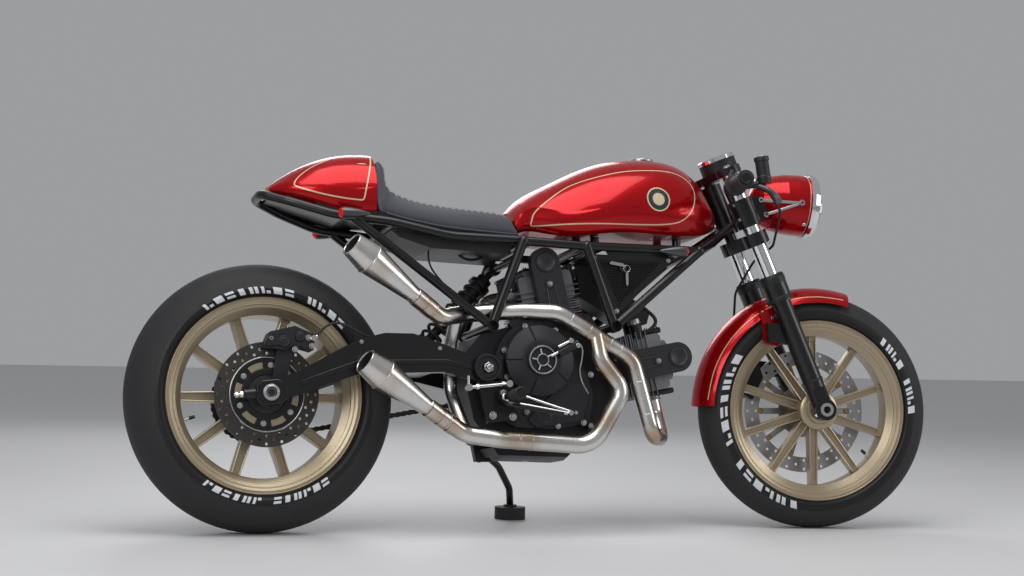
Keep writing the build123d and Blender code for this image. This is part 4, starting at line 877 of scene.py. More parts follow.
def bolt(bm, place, direction, radius, height):
    """A button-head bolt with a round pocket."""
    washer, pocket = radius * 1.25, radius * 0.45
    outline = [
        (washer, 0.0), (washer, 0.8), (radius, 0.8), (radius * 0.98, height * 0.55),
        (radius * 0.8, height), (pocket, height), (pocket, height * 0.45), (0.0, height * 0.4),
    ]
    lathe(bm, outline, place, direction, steps=18)


def hex_nut(bm, place, direction, radius, height):
    """A hexagon nut with a turned top."""
    matrix = aimed(Vector(place) + Vector(direction).normalized() * height / 2, direction)
    bmesh.ops.create_cone(
        bm, cap_ends=True, segments=6, radius1=radius, radius2=radius * 0.94, depth=height, matrix=matrix
    )


# %% Rear wheel: carrier ring and bolts, and both tyre valves
RIGHT = (0, -1, 0)
LEFT = (0, 1, 0)


def around_axle(axle, radius, angle, y):
    """A point at an angle round an axle, in degrees."""
    a = math.radians(angle)
    return axle + Vector((radius * math.cos(a), y, radius * math.sin(a)))


WINDOWS = 6
WINDOW_HALF = 15.0
PANE_HALF = 14.2
FIRST_BOLT = 23.0
CARRIER_FACE = -98.6


def sector(bm, axle, r_from, r_to, a_from, a_to, y_from, y_to):
    """A flat piece of a ring between two radii and two angles."""
    arc = [a_from + (a_to - a_from) * i / 8 for i in range(9)]
    outer = [around_axle(axle, r_to, a, 0) for a in arc]
    inner = [around_axle(axle, r_from, a, 0) for a in arc[::-1]]
    plate(bm, [(p.x, p.z) for p in outer + inner], y_from, y_to)


bm = bmesh.new()
carrier_rings = (
    [(88.0, 0.0), (88.0, 1.6), (85.0, 2.4), (77.0, 2.4), (76.0, 0.0), (88.0, 0.0)],
    [(60.0, 0.0), (59.0, 2.4), (46.0, 2.4), (45.0, 0.0), (60.0, 0.0)],
)
for outline in carrier_rings:
    lathe(bm, outline, (0, CARRIER_FACE, REAR_AXLE.z), RIGHT, steps=72)
for i in range(WINDOWS):
    middle = FIRST_BOLT + 60.0 * i
    start, end = middle - WINDOW_HALF, middle + WINDOW_HALF
    sector(bm, REAR_AXLE, 58.0, 78.0, start, end, CARRIER_FACE, CARRIER_FACE - 2.2)
piece(bm, "rear_disc_carrier", "rear_wheel", "frame_black", bevel=0.6)
bm = bmesh.new()
for i in range(WINDOWS):
    middle = FIRST_BOLT + 30.0 + 60.0 * i
    start, end = middle - PANE_HALF, middle + PANE_HALF
    sector(bm, REAR_AXLE, 60.5, 75.5, start, end, CARRIER_FACE, CARRIER_FACE - 0.7)
piece(bm, "rear_carrier_windows", "rear_wheel", "cast_gold", bevel=0.4)
bm = bmesh.new()
for i in range(WINDOWS):
    bolt(bm, around_axle(REAR_AXLE, 68.5, FIRST_BOLT + 60 * i, CARRIER_FACE - 2.0), RIGHT, 5.4, 2.6)
for i in range(5):
    bolt(bm, around_axle(REAR_AXLE, 70.0, 72 * i, 106.4), LEFT, 6.0, 5.0)
piece(bm, "rear_wheel_bolts", "rear_wheel", "bright_steel", finish=BOLT_STEEL)
bm = bmesh.new()
ring(bm, (0, -100.2, REAR_AXLE.z), RIGHT, 86.6, 1.6, steps=72)
piece(bm, "rear_disc_bright_ring", "rear_wheel", "bright_steel")


def valve(body, axle, angle, y, name):
    """A tyre valve: a bright stem out of the rim with a black cap."""
    stem = bmesh.new()
    foot, tip = around_axle(axle, 206.0, angle, y), around_axle(axle, 176.0, angle, y - 4)
    rod(stem, foot, tip, 3.6, 2.8, sides=14)
    seat_at = around_axle(axle, 201.0, angle, y)
    hex_nut(stem, seat_at, around_axle(axle, 100.0, angle, y) - seat_at, 5.5, 4)
    piece(stem, f"{name}_valve_stem", body, "bright_steel", finish=BOLT_STEEL)
    cap = bmesh.new()
    foot, tip = around_axle(axle, 177.0, angle, y - 4), around_axle(axle, 163.0, angle, y - 6)
    rod(cap, foot, tip, 4.4, 3.8, sides=14)
    piece(cap, f"{name}_valve_cap", body, "soft_rubber", bevel=0.5)


valve("rear_wheel", REAR_AXLE, 197.0, -22.0, "rear")
valve("front_wheel", FRONT_AXLE, -39.0, -14.0, "front")

# %% Rear wheel: hub face, axle nuts and the block that sets the chain's slack
bm = bmesh.new()
for radius, y_from, y_to in ((47.0, -68.0, -74.0), (30.0, -74.0, -80.0)):
    across(bm, 0, REAR_AXLE.z, radius, y_from, y_to, 48)
piece(bm, "rear_hub_step", "rear_wheel", "cast_gold", bevel=1.2)
bm = bmesh.new()
collar = [(12.6, 0), (19.5, 0), (19.5, 8), (18.0, 10), (15.6, 10), (14.6, 12), (12.6, 12), (12.6, 0)]
for y, way in ((-148.5, RIGHT), (148.5, LEFT)):
    lathe(bm, collar, (0, y, REAR_AXLE.z), way)
piece(bm, "rear_axle_collars", "chassis", "bright_steel", bevel=0.5)
# A near-black disc in each hollow axle end: painted shade inside the bore.
bm = bmesh.new()
for y, way in ((-148.5, RIGHT), (148.5, LEFT)):
    lathe(bm, [(0, 0), (12.6, 0), (12.6, 10.5), (10.5, 10.5), (9.5, 9.0), (0, 9.0)], (0, y, REAR_AXLE.z), way)
piece(bm, "rear_axle_shade_plugs", "chassis", "dark_plastic", finish=SHADE_AND_SOOT_BLACK)
bm = bmesh.new()
BLOCK_OUTLINE = [
    (-34, 300), (-20, 288), (22, 292), (44, 306), (40, 336), (18, 350), (-20, 346), (-34, 334),
]
for y_from, y_to in ((-152.5, -117.0), (117.0, 152.5)):
    plate(bm, BLOCK_OUTLINE, y_from, y_to)
for y in (-132.0, 132.0):
    rod(bm, (-30, y, REAR_AXLE.z - 2), (-62, y, REAR_AXLE.z - 4), 14.0, 11.0, sides=20)
piece(bm, "axle_blocks", "chassis", "frame_black", bevel=2.5)
bm = bmesh.new()
for y in (-132.0, 132.0):
    rod(bm, (-60, y, REAR_AXLE.z - 4), (-82, y, REAR_AXLE.z - 5), 4.0, sides=12)
    hex_nut(bm, (-62, y, REAR_AXLE.z - 4), (-1, 0, 0), 8.0, 6)
    hex_nut(bm, (-74, y, REAR_AXLE.z - 5), (-1, 0, 0), 7.0, 5)
piece(bm, "chain_adjusters", "chassis", "bright_steel", finish=BOLT_STEEL)

# %% Rim lips: a rolled edge and a second step inside it, on both faces
for name, body, axle, half in (
    ("rear", "rear_wheel", REAR_AXLE, 76.0), ("front", "front_wheel", FRONT_AXLE, 51.0)
):
    bm = bmesh.new()
    for way in (-1, 1):
        ring(bm, (axle.x, way * (half - 0.8), axle.z), (0, way, 0), 229.4, 2.1, steps=96, sides=10)
        ring(bm, (axle.x, way * (half - 5.0), axle.z), (0, way, 0), 215.5, 2.4, steps=96, sides=10)
    piece(bm, f"{name}_rim_steps", body, "cast_gold", smooth_angle=80)

# %% Spoke edges: each cast spoke has two raised lines on either face
SPOKE_TABLE = [
    # name, body, axle, first angle, root radius, half width at root, at tip, half thickness
    ("rear", "rear_wheel", REAR_AXLE, 0.0, 54.0, 14.0, 11.0, 17.0),
    ("front", "front_wheel", FRONT_AXLE, 18.0, 42.0, 12.0, 9.5, 14.0),
]
SPOKE_TIP_R = 188.0
for name, body, axle, phase, root_r, root_half, tip_half, thick in SPOKE_TABLE:
    bm = bmesh.new()
    for i in range(10):
        for side in (-1, 1):
            for edge in (-1, 1):
                turn = math.radians(phase + 36 * i)
                out = Vector((math.cos(turn), 0, math.sin(turn)))
                aside = Vector((-out.z, 0, out.x)) * edge
                face = Vector((0, side * thick, 0))
                rod(bm, axle + out * root_r + aside * (root_half - 1.8) + face,
                    axle + out * SPOKE_TIP_R + aside * (tip_half - 1.8) + face, 2.0, sides=8)
    piece(bm, f"{name}_spoke_edges", body, "cast_gold")

# %% Front wheel: hub face and the disc's rivets
HUB_FACE = [
    (14.0, 0), (50.0, 0), (50.0, 5), (44.0, 9), (36.0, 10), (34.0, 16), (22.0, 18), (20.0, 10),
    (14.0, 10), (14.0, 0),
]
bm = bmesh.new()
lathe(bm, HUB_FACE, (FRONT_AXLE.x, -58.0, FRONT_AXLE.z), RIGHT)
piece(bm, "front_hub_face", "front_wheel", "cast_gold", bevel=0.8)
bm = bmesh.new()
for i in range(10):
    for y, way in ((72.6, LEFT), (67.4, RIGHT)):
        lathe(bm, [(3.0, 0), (8.0, 0), (8.0, 1.4), (6.6, 2.4), (3.0, 2.4), (0, 1.2)],
              around_axle(FRONT_AXLE, 117.0, 36 * i, y), way, steps=20)
piece(bm, "front_disc_rivets", "front_wheel", "bright_steel", finish=BRASS)
bm = bmesh.new()
for i in range(5):
    bolt(bm, around_axle(FRONT_AXLE, 34.0, 18 + 72 * i, 72.6), LEFT, 5.0, 4.5)
piece(bm, "front_disc_bolts", "front_wheel", "bright_steel", finish=BOLT_STEEL)

# %% [markdown]
# ## The chain
#
# A chain is one link many times over. Two side plates with a waist, a roller between them
# and the head of its pin are made for each link, and the loop round both sprockets says where each
# link sits and which way it leans. Inner and outer links take turns, a little narrower and wider.

# %% Links round both sprockets
CHAIN_Y = 103.0
SPROCKETS = [(0.0, REAR_AXLE.z, 93.0), (604.0, 372.0, 39.0)]
CHAIN_PITCH = 15.875


def chain_loop():
    """The pitch line of the chain as a closed row of (x, z) points, 3 mm apart on the sprockets."""
    (rear_x, rear_z, rear_r), (front_x, front_z, front_r) = SPROCKETS
    span = math.hypot(front_x - rear_x, front_z - rear_z)
    base = math.atan2(front_z - rear_z, front_x - rear_x)
    lift = math.asin((rear_r - front_r) / span)
    top, low = base + math.pi / 2 - lift, base - math.pi / 2 + lift
    loop = []
    for centre_x, centre_z, r, start, end in (
        (rear_x, rear_z, rear_r, math.tau + low, top), (front_x, front_z, front_r, top, low)
    ):
        steps = max(8, int(abs(end - start) * r / 3))
        for i in range(steps + 1):
            a = start + (end - start) * i / steps
            loop.append(Vector((centre_x + r * math.cos(a), centre_z + r * math.sin(a))))
    return loop


def even_places(loop, pitch):
    """Places a link apart along a closed line, and the line's direction at each."""
    lengths = [(b - a).length for a, b in zip(loop, loop[1:] + loop[:1])]
    total = sum(lengths)
    count = int(total / pitch) // 2 * 2
    step = total / count
    found = []
    at, walked = 0, 0.0
    for i in range(count):
        target = i * step
        while walked + lengths[at] < target:
            walked += lengths[at]
            at += 1
        a, b = loop[at], loop[(at + 1) % len(loop)]
        share = (target - walked) / lengths[at]
        found.append((a.lerp(b, share), (b - a).normalized()))
    return found, step


def link_plate(bm, y, half, thick):
    """One waisted side plate, along x."""
    outline = []
    for centre, start in ((half, -90), (-half, 90)):
        for i in range(5):
            a = math.radians(start + 45 * i)
            outline.append((centre + 6.6 * math.cos(a), 6.6 * math.sin(a)))
        outline.append((0.0, 4.6 if centre > 0 else -4.6))
    plate(bm, outline, y, y + thick)


places, link_step = even_places(chain_loop(), CHAIN_PITCH)
bm = bmesh.new()
for i, (place, way) in enumerate(places):
    single = bmesh.new()
    spread = 5.6 if i % 2 else 4.0
    link_plate(single, -spread - 1.2, link_step / 2, 1.2)
    link_plate(single, spread, link_step / 2, 1.2)
    rod(single, (-link_step / 2, -4.4, 0), (-link_step / 2, 4.4, 0), 4.2, sides=8)
    rod(single, (-link_step / 2, -7.2, 0), (-link_step / 2, 7.2, 0), 2.2, sides=6)
    turn = Matrix.Rotation(-math.atan2(way.y, way.x), 4, "Y")
    shift = place + way * link_step / 2
    move = Matrix.Translation((shift.x, CHAIN_Y, shift.y))
    bmesh.ops.transform(single, matrix=move @ turn, verts=single.verts)
    holder = bpy.data.meshes.new("link")
    single.to_mesh(holder)
    single.free()
    bm.from_mesh(holder)
    bpy.data.meshes.remove(holder)
chain = piece(bm, "drive_chain_links", "chassis", "bright_steel", finish=DARK_DISC)
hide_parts("drive_chain")
print("chain links", len(places), "pitch", round(link_step, 2))

# %% [markdown]
# ## The seat
#
# The seat is a thin foam pad in grained hide. Its top is sewn into cross channels, it rises into
# a small hump against the tail, and its edge is a plain welt. A pad like this is air pressing
# against stitches, so it is made that way: a grid is laid over the pad's profile, the sewn lines
# are pinned, and a short cloth simulation blows the hide up between them.

# %% The pad's profile and sections
SEAT_TOP = [
    (271, 886), (280, 879), (286, 862), (286, 838), (293, 817), (316, 803), (361, 789), (410, 782),
    (458, 777), (508, 774), (555, 771.5), (590, 766), (598, 761),
]
SEAT_LOW = [
    (264, 860), (264, 800), (268, 758), (290, 752), (324, 743), (395, 730), (440, 724), (500, 720),
    (560, 717), (610, 716), (622, 716),
]
SEAT_HALF_WIDTH = 110.0
RIBS = 24
CELLS_PER_RIB = 8
WIDE_CELLS = 48
TOP_SHARE = 0.76
RIB_SHARE = 0.84
RIB_DEPTH = 5.0
LINE_RESOLUTION = 8
PUFF_FRAMES = 18
PUFF_LIMIT = 3.0
PUFF_PRESSURE = 160.0


def along_line(points, share):
    """A point at a share of a line's length, and the direction there."""
    lengths = [(Vector(b) - Vector(a)).length for a, b in zip(points, points[1:])]
    target = share * sum(lengths)
    for a, b, length in zip(points, points[1:], lengths):
        if target <= length or b is points[-1]:
            return Vector(a).lerp(Vector(b), min(1.0, target / length)), (Vector(b) - Vector(a)).normalized()
        target -= length


def smooth_line(points):
    """A guided line in the (x, z) plane as plain pairs."""
    path = smooth_path([(x, 0, z) for x, z in points], resolution=LINE_RESOLUTION)
    return [(p.x, p.z) for p in path]


seat_top_line = smooth_line(SEAT_TOP)
seat_low_line = smooth_line(SEAT_LOW)


def seat_width(share):
    """The pad narrows towards the tank."""
    front = max(0.0, (share - 0.55) / 0.45)
    rear = max(0.0, (0.2 - share) / 0.2)
    return SEAT_HALF_WIDTH * (1 - 0.13 * front * front - 0.10 * rear)


def pad_point(share, side):
    """A point of the pad and whether a stitch holds it, for a side from -1 to 1."""
    top, way = along_line(seat_top_line, share)
    low, _ = along_line(seat_low_line, share)
    out = Vector((-way.y, way.x))
    reach = abs(side)
    channel = 1 - abs(math.sin(math.pi * RIBS * share))
    fade = min(1.0, max(0.0, (RIB_SHARE - reach) / 0.06)) if 0.02 < share < 0.985 else 0.0
    sink = RIB_DEPTH * channel ** 1.6 * fade
    if reach <= TOP_SHARE:
        inner = reach / TOP_SHARE
        spot = top + out * (3.0 * (1 - inner * inner) - 1.0 - sink)
        half = 0.84 * inner
    else:
        angle = (reach - TOP_SHARE) / (1 - TOP_SHARE) * math.pi / 2
        spot = top.lerp(low, (1 - math.cos(angle)) ** 1.15) - out * (1.0 + sink * 0.6)
        half = 0.84 + 0.16 * math.sin(angle) - sink * 0.004
    held = (channel > 0.8 and fade > 0.5) or abs(reach - RIB_SHARE) < 0.012
    return Vector((spot.x, math.copysign(seat_width(share) * half, side), spot.y)), held


def build_seat():
    """A closed pad, its sewn lines pinned, blown up by a short cloth simulation."""
    bm = bmesh.new()
    layer = bm.verts.layers.deform.verify()
    made = bmesh.ops.create_grid(bm, x_segments=RIBS * CELLS_PER_RIB, y_segments=WIDE_CELLS, size=0.5)
    for v in made["verts"]:
        v.co, held = pad_point(v.co.x + 0.5, v.co.y * 2)
        v[layer][0] = 1.0 if held or v.is_boundary else 0.0
    grown = bmesh.ops.extrude_edge_only(bm, edges=[e for e in bm.edges if e.is_boundary])
    for v in [g for g in grown["geom"] if isinstance(g, bmesh.types.BMVert)]:
        v.co.y *= 0.94
        v.co.z -= 2.0
        v[layer][0] = 1.0
    rim_edges = [g for g in grown["geom"] if isinstance(g, bmesh.types.BMEdge) and g.is_boundary]
    bmesh.ops.holes_fill(bm, edges=rim_edges, sides=0)
    bmesh.ops.triangulate(bm, faces=[f for f in bm.faces if len(f.verts) > 4])
    seat = piece(bm, "seat_pad", "chassis", "seat_leather", finish=LEATHER, smooth_angle=80)
    seat.vertex_groups.new(name="sewn")
    puff_up(seat)
    return seat


def puff_up(obj):
    """Blows a pinned pad up with the cloth simulation and keeps each point near where it began."""
    before = [v.co.copy() for v in obj.data.vertices]
    cloth = obj.modifiers.new("Cloth", "CLOTH")
    settings = cloth.settings
    settings.quality = 6
    settings.mass = 0.3
    settings.tension_stiffness = 12
    settings.compression_stiffness = 12
    settings.bending_stiffness = 0.3
    settings.use_pressure = True
    settings.uniform_pressure_force = PUFF_PRESSURE
    settings.vertex_group_mass = "sewn"
    settings.effector_weights.gravity = 0
    cloth.point_cache.frame_start = 1
    cloth.point_cache.frame_end = PUFF_FRAMES
    scene = bpy.context.scene
    for number in range(1, PUFF_FRAMES + 1):
        scene.frame_set(number)
    blown = obj.evaluated_get(bpy.context.evaluated_depsgraph_get()).data
    moved = 0.0
    for v, start, now in zip(obj.data.vertices, before, [w.co.copy() for w in blown.vertices]):
        step = now - start
        if step.length > PUFF_LIMIT * MM:
            step = step.normalized() * PUFF_LIMIT * MM
        v.co = start + step
        moved = max(moved, step.length)
    obj.modifiers.remove(cloth)
    scene.frame_set(1)
    print("seat puffed up by at most", round(moved * 1000, 1), "mm")


# %% [markdown]
# Hide has a pebbled grain, deeper in the folds. A Voronoi texture gives the pebbles; it goes
# through a group of its own because the seat and its welt share it.

# %% The leather


def build_hide_grain():
    """Pebbled grain as a height, with fine creases across it."""
    group, entry, leave = new_group(
        "hide grain", [("Scale", "NodeSocketFloat", 420.0)], [("Height", "NodeSocketFloat")]
    )
    where = group.nodes.new("ShaderNodeTexCoord")
    cells = group.nodes.new("ShaderNodeTexVoronoi")
    cells.feature = "DISTANCE_TO_EDGE"
    group.links.new(where.outputs["Object"], cells.inputs["Vector"])
    group.links.new(entry.outputs["Scale"], cells.inputs["Scale"])
    creases = noise_node(group, where.outputs["Object"], 90.0, 8.0)
    height = math_node(group, "MULTIPLY_ADD", creases, 0.6, cells.outputs["Distance"])
    group.links.new(height, leave.inputs["Height"])
    return group


HIDE_GRAIN = build_hide_grain()
LEATHER = finish("dark grey grained hide", (0.040, 0.044, 0.056), 0.0, 0.44, bump=0.0, tone=0.35, gloss=0.2,
                 smudge=25.0, Sheen_Weight=0.2, Sheen_Roughness=0.5)
hide_tree = LEATHER.node_tree
hide = hide_tree.nodes.new("ShaderNodeGroup")
hide.node_tree = HIDE_GRAIN
hide_bump = hide_tree.nodes.new("ShaderNodeBump")
hide_bump.inputs["Strength"].default_value = 0.5
hide_bump.inputs["Distance"].default_value = 0.0006
hide_tree.links.new(hide.outputs["Height"], hide_bump.inputs["Height"])
hide_tree.links.new(hide_bump.outputs["Normal"], hide_tree.nodes["Principled BSDF"].inputs["Normal"])
seat_pad = build_seat()
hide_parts("seat")

# %% The seat's welt and its row of stitches
THREAD = finish("pale waxed thread", (0.30, 0.29, 0.27), 0.0, 0.7, bump=0.0, tone=0.2)
bm = bmesh.new()
WELT_STEPS = 40
for side in (-1, 1):
    welt = []
    for i in range(WELT_STEPS + 1):
        share = 0.01 + 0.98 * i / WELT_STEPS
        low, _ = along_line(seat_low_line, share)
        welt.append((low.x, side * seat_width(share) * 0.985, low.y + 2.0))
    tube(bm, welt, 2.6, sides=8, smooth=False)
piece(bm, "seat_welt", "chassis", "seat_leather", finish=LEATHER, smooth_angle=80)
bm = bmesh.new()
STITCHES = 92
for side in (-1, 1):
    for i in range(STITCHES):
        share = 0.03 + 0.94 * i / STITCHES
        top, way = along_line(seat_top_line, share)
        out = Vector((-way.y, way.x))
        y = side * seat_width(share) * 0.895
        a = top + out * -1.2
        b = a + way * 3.2
        rod(bm, (a.x, y, a.y), (b.x, y, b.y), 0.55, sides=5)
piece(bm, "seat_stitches", "chassis", "seat_leather", finish=THREAD)

# %% [markdown]
# ## Engine
#
# The clutch cover is the engine's face: a shallow black cone with five grooves and a bright
# five-armed ring at its hub. It is turned in one go with the lathe helper, then the grooves are
# pushed in by moving the few vertices that lie along them, which needs no boolean.

# %% Clutch cover
CLUTCH = Vector((655.0, -158.0, 403.0))
CLUTCH_PROFILE = [
    (86.0, -36.0), (86.0, -16.0), (84.5, -14.0), (83.0, -13.4), (66.0, -6.0), (56.0, -2.2), (50.0, 0.0),
    (46.0, 0.8), (38.0, 0.8), (37.0, 5.2), (35.0, 6.0), (33.6, 6.0), (32.6, 3.0), (16.0, 3.0), (0.0, 3.0),
]
GROOVES = [36.0, 108.0, 180.0, 252.0, 324.0]
GROOVE_DEPTH = 2.6
GROOVE_HALF = 1.1
STAR_ARMS = (30, 102, 174, 246, 318)
bm = bmesh.new()
fresh = lathe(bm, CLUTCH_PROFILE, CLUTCH, RIGHT, steps=180)
for v in fresh:
    offset = v.co - CLUTCH
    radius = math.hypot(offset.x, offset.z)
    angle = math.degrees(math.atan2(offset.z, offset.x)) % 360
    near = min(abs((angle - g + 180) % 360 - 180) for g in GROOVES)
    if 47.0 < radius < 84.8 and near < GROOVE_HALF:
        v.co.y += GROOVE_DEPTH
clutch = piece(bm, "clutch_cover_face", "chassis", "engine_black", smooth_angle=24)
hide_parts("clutch_cover")
bm = bmesh.new()
hub = CLUTCH + Vector((0, -6.2, 0))
lathe(bm, [(31.6, 0), (34.6, 0), (34.6, 1.6), (31.6, 1.6), (31.6, 0)], hub, RIGHT, steps=64)
lathe(bm, [(12.6, -2), (15.4, -2), (15.4, 1.2), (12.6, 1.2), (12.6, -2)], hub, RIGHT, steps=40)
sunk = Vector((0, 0.4, 0))
for angle in STAR_ARMS:
    a = math.radians(angle)
    way = Vector((math.cos(a), 0, math.sin(a)))
    rod(bm, hub + way * 14.5 + sunk, hub + way * 27.0 + sunk, 2.3, sides=8)
piece(bm, "clutch_hub_star", "chassis", "raw_alloy", bevel=0.4)

# %% Side case: bolts, bosses and the small cover in front
CASE_BOLTS = [
    (624.2, 487.7), (701.3, 479.4), (571.0, 428.4), (577.1, 364.8), (790.6, 373.3), (749.1, 279.7),
    (770.0, 256.1), (789.5, 247.9), (703.8, 247.9), (625.0, 280.4),
]
bm = bmesh.new()
for x, z in CASE_BOLTS:
    across(bm, x, z, 9.5, -96.0, -125.0, 20)
lathe(bm, [(22.0, 0), (22.0, 4), (19.0, 6), (12.0, 6), (11.0, 4), (0, 4)], (668.0, -122.0, 268.0), RIGHT)
LOW_COVER = [(628, 262), (650, 242), (770, 262), (784, 318), (768, 350), (724, 352), (660, 300)]
plate(bm, LOW_COVER, -120.0, -127.0)
TOP_RIDGE = [(588, 494), (596, 506), (700, 506), (716, 480), (700, 470), (600, 476)]
plate(bm, TOP_RIDGE, -92.0, -112.0)
piece(bm, "case_bosses", "chassis", "engine_black", bevel=2.0)
bm = bmesh.new()
for x, z in CASE_BOLTS:
    bolt(bm, (x, -125.0, z), RIGHT, 5.6, 5.2)
bolt(bm, (534.6, -141.0, 270.4), RIGHT, 7.6, 6.0)
bolt(bm, (584.6, -141.0, 267.7), RIGHT, 7.6, 6.0)
piece(bm, "case_bolts", "chassis", "bright_steel", finish=BOLT_STEEL)
bm = bmesh.new()
hex_nut(bm, (518.1, -160.0, 383.0), RIGHT, 13.5, 9.0)
lathe(bm, [(8.5, 0), (8.5, 7), (6, 10), (0, 10)], (518.1, -168.0, 383.0), RIGHT, steps=24)
piece(bm, "pivot_nut", "chassis", "bright_steel", finish=BOLT_STEEL, bevel=0.8)
bm = bmesh.new()
BOSS_RING = [(14, 0), (32, 0), (34, 3), (32, 7), (27, 7), (25, 3), (14, 3), (14, 0)]
lathe(bm, BOSS_RING, (518.1, -156.0, 383.0), RIGHT)
piece(bm, "pivot_boss_ring", "chassis", "engine_black")

# %% Clutch actuator: a black cylinder, its bright clevis and the feed pipe
bm = bmesh.new()
rod(bm, (692.0, -168.0, 418.0), (734.0, -168.0, 440.0), 11.0, sides=20)
rod(bm, (734.0, -168.0, 440.0), (744.0, -166.0, 446.0), 8.0, sides=16)
rod(bm, (714.0, -120.0, 429.0), (714.0, -168.0, 429.0), 8.0, sides=16)
piece(bm, "clutch_actuator", "chassis", "engine_black", bevel=1.0)
bm = bmesh.new()
rod(bm, (690.0, -176.0, 433.0), (722.0, -176.0, 449.0), 4.4, 3.4, sides=14)
rod(bm, (673.0, -172.0, 411.0), (700.0, -172.0, 426.0), 3.4, sides=12)
across(bm, 722.0, 449.0, 6.0, -168.0, -182.0, 18)
hex_nut(bm, (742.0, -170.0, 438.0), RIGHT, 6.5, 6.0)
piece(bm, "actuator_clevis", "chassis", "bright_steel", finish=BOLT_STEEL, bevel=0.5)
bm = bmesh.new()
FEED_PIPE = [
    (744, -164, 446), (760, -156, 440), (766, -132, 410), (760, -124, 380), (772, -124, 340),
    (790, -118, 322),
]
tube(bm, FEED_PIPE, 2.6, sides=8)
piece(bm, "actuator_pipe", "chassis", "bright_steel", smooth_angle=80)

# %% [markdown]
# Both cylinders share the crankshaft, at a right angle to each other. A point beside either of
# them is given by its distance along the cylinder and beside it, so that one loop dresses both.

# %% Cam belt covers: raised rims, bolts and moulded ribs
CRANK = Vector((745.0, 0.0, 364.0))
TILT = math.radians(11.7)
FRONT_WAY = Vector((math.cos(TILT), 0, math.sin(TILT)))
REAR_WAY = Vector((-math.sin(TILT), 0, math.cos(TILT)))


def along_cylinder(way, distance, sideways=0.0, y=0.0):
    """A point beside a cylinder's axis, at a distance from the crankshaft."""
    aside = Vector((-way.z, 0, way.x))
    return CRANK + way * distance + aside * sideways + Vector((0, y, 0))


PULLEY_AT = 238.0
bm = bmesh.new()
for way in (FRONT_WAY, REAR_WAY):
    tip = along_cylinder(way, 292.0, y=-104.0)
    lathe(bm, [(18, 0), (25, 0), (24, 3), (21, 4), (19, 2.4), (0, 2.4)], tip, RIGHT, steps=40)
    for offset in (-14.0, 14.0):
        low = along_cylinder(way, 150.0, offset, -104.2)
        top = along_cylinder(way, 246.0, offset * 0.7, -104.2)
        rod(bm, low, top, 1.8, sides=8)
    pulley = along_cylinder(way, PULLEY_AT, 0, -104.0)
    lathe(bm, [(13, 0), (12, 2.4), (7, 2.4), (6, 1), (0, 1)], pulley, RIGHT, steps=28)
piece(bm, "belt_cover_relief", "chassis", "dark_plastic")
bm = bmesh.new()
for way in (FRONT_WAY, REAR_WAY):
    bolt(bm, along_cylinder(way, PULLEY_AT, 0, -105.0), RIGHT, 5.6, 5.0)
    bolt(bm, along_cylinder(way, 128.0, 26.0, -104.0), RIGHT, 4.6, 4.0)
piece(bm, "belt_cover_bolts", "chassis", "bright_steel", finish=BOLT_STEEL)

# %% Rocker covers with their bolts, and spark plug caps


def head_box(bm, way, start, end, low, high, y_from, y_to):
    """A box that follows a cylinder's axis: along it, beside it and across the motorcycle."""
    corners = ((start, low), (end, low), (end, high), (start, high))
    outline = [along_cylinder(way, d, s) for d, s in corners]
    plate(bm, [(p.x, p.z) for p in outline], y_from, y_to)


bm = bmesh.new()
for way in (FRONT_WAY, REAR_WAY):
    for low, high in ((70.0, 84.0), (-84.0, -70.0)):
        head_box(bm, way, 238.0, 282.0, low, high, -58.0, 58.0)
    head_box(bm, way, 282.0, 290.0, -44.0, 44.0, -56.0, 56.0)
piece(bm, "rocker_covers", "chassis", "engine_black", bevel=4.0)
bm = bmesh.new()
for way in (FRONT_WAY, REAR_WAY):
    aside = Vector((-way.z, 0, way.x))
    for y in (-50.0, 50.0):
        for d in (244.0, 276.0):
            bolt(bm, along_cylinder(way, d, 84.0, y), aside, 4.6, 4.0)
            bolt(bm, along_cylinder(way, d, -84.0, y), -aside, 4.6, 4.0)
        for s in (-36.0, 36.0):
            bolt(bm, along_cylinder(way, 290.0, s, y * 0.9), way, 4.6, 4.0)
piece(bm, "rocker_cover_bolts", "chassis", "bright_steel", finish=BOLT_STEEL)
bm = bmesh.new()
for way in (FRONT_WAY, REAR_WAY):
    start = along_cylinder(way, 206.0, 30.0, -74.0)
    rod(bm, start, start + Vector((0, -14, 0)) + way * 4, 9.0, 7.0, sides=18)
    rod(bm, start + Vector((0, 148, 0)), start + Vector((0, 166, 0)) + way * 6, 9.0, 7.0, sides=18)
piece(bm, "plug_caps", "chassis", "soft_rubber", bevel=1.0)

# %% Extra fins between the frame's thick ones
FINS = 11
FIN_PITCH = 12.5
HEAD_FROM = 8
bm = bmesh.new()
for way in (FRONT_WAY, REAR_WAY):
    for i in range(FINS):
        at = 102.0 + FIN_PITCH * i
        half = 76.0 if i < HEAD_FROM else 82.0
        head_box(bm, way, at, at + 2.0, -half, half, -80.0, 80.0)
piece(bm, "thin_fins", "chassis", "raw_alloy", finish=RAW_HEAD, bevel=0.5)

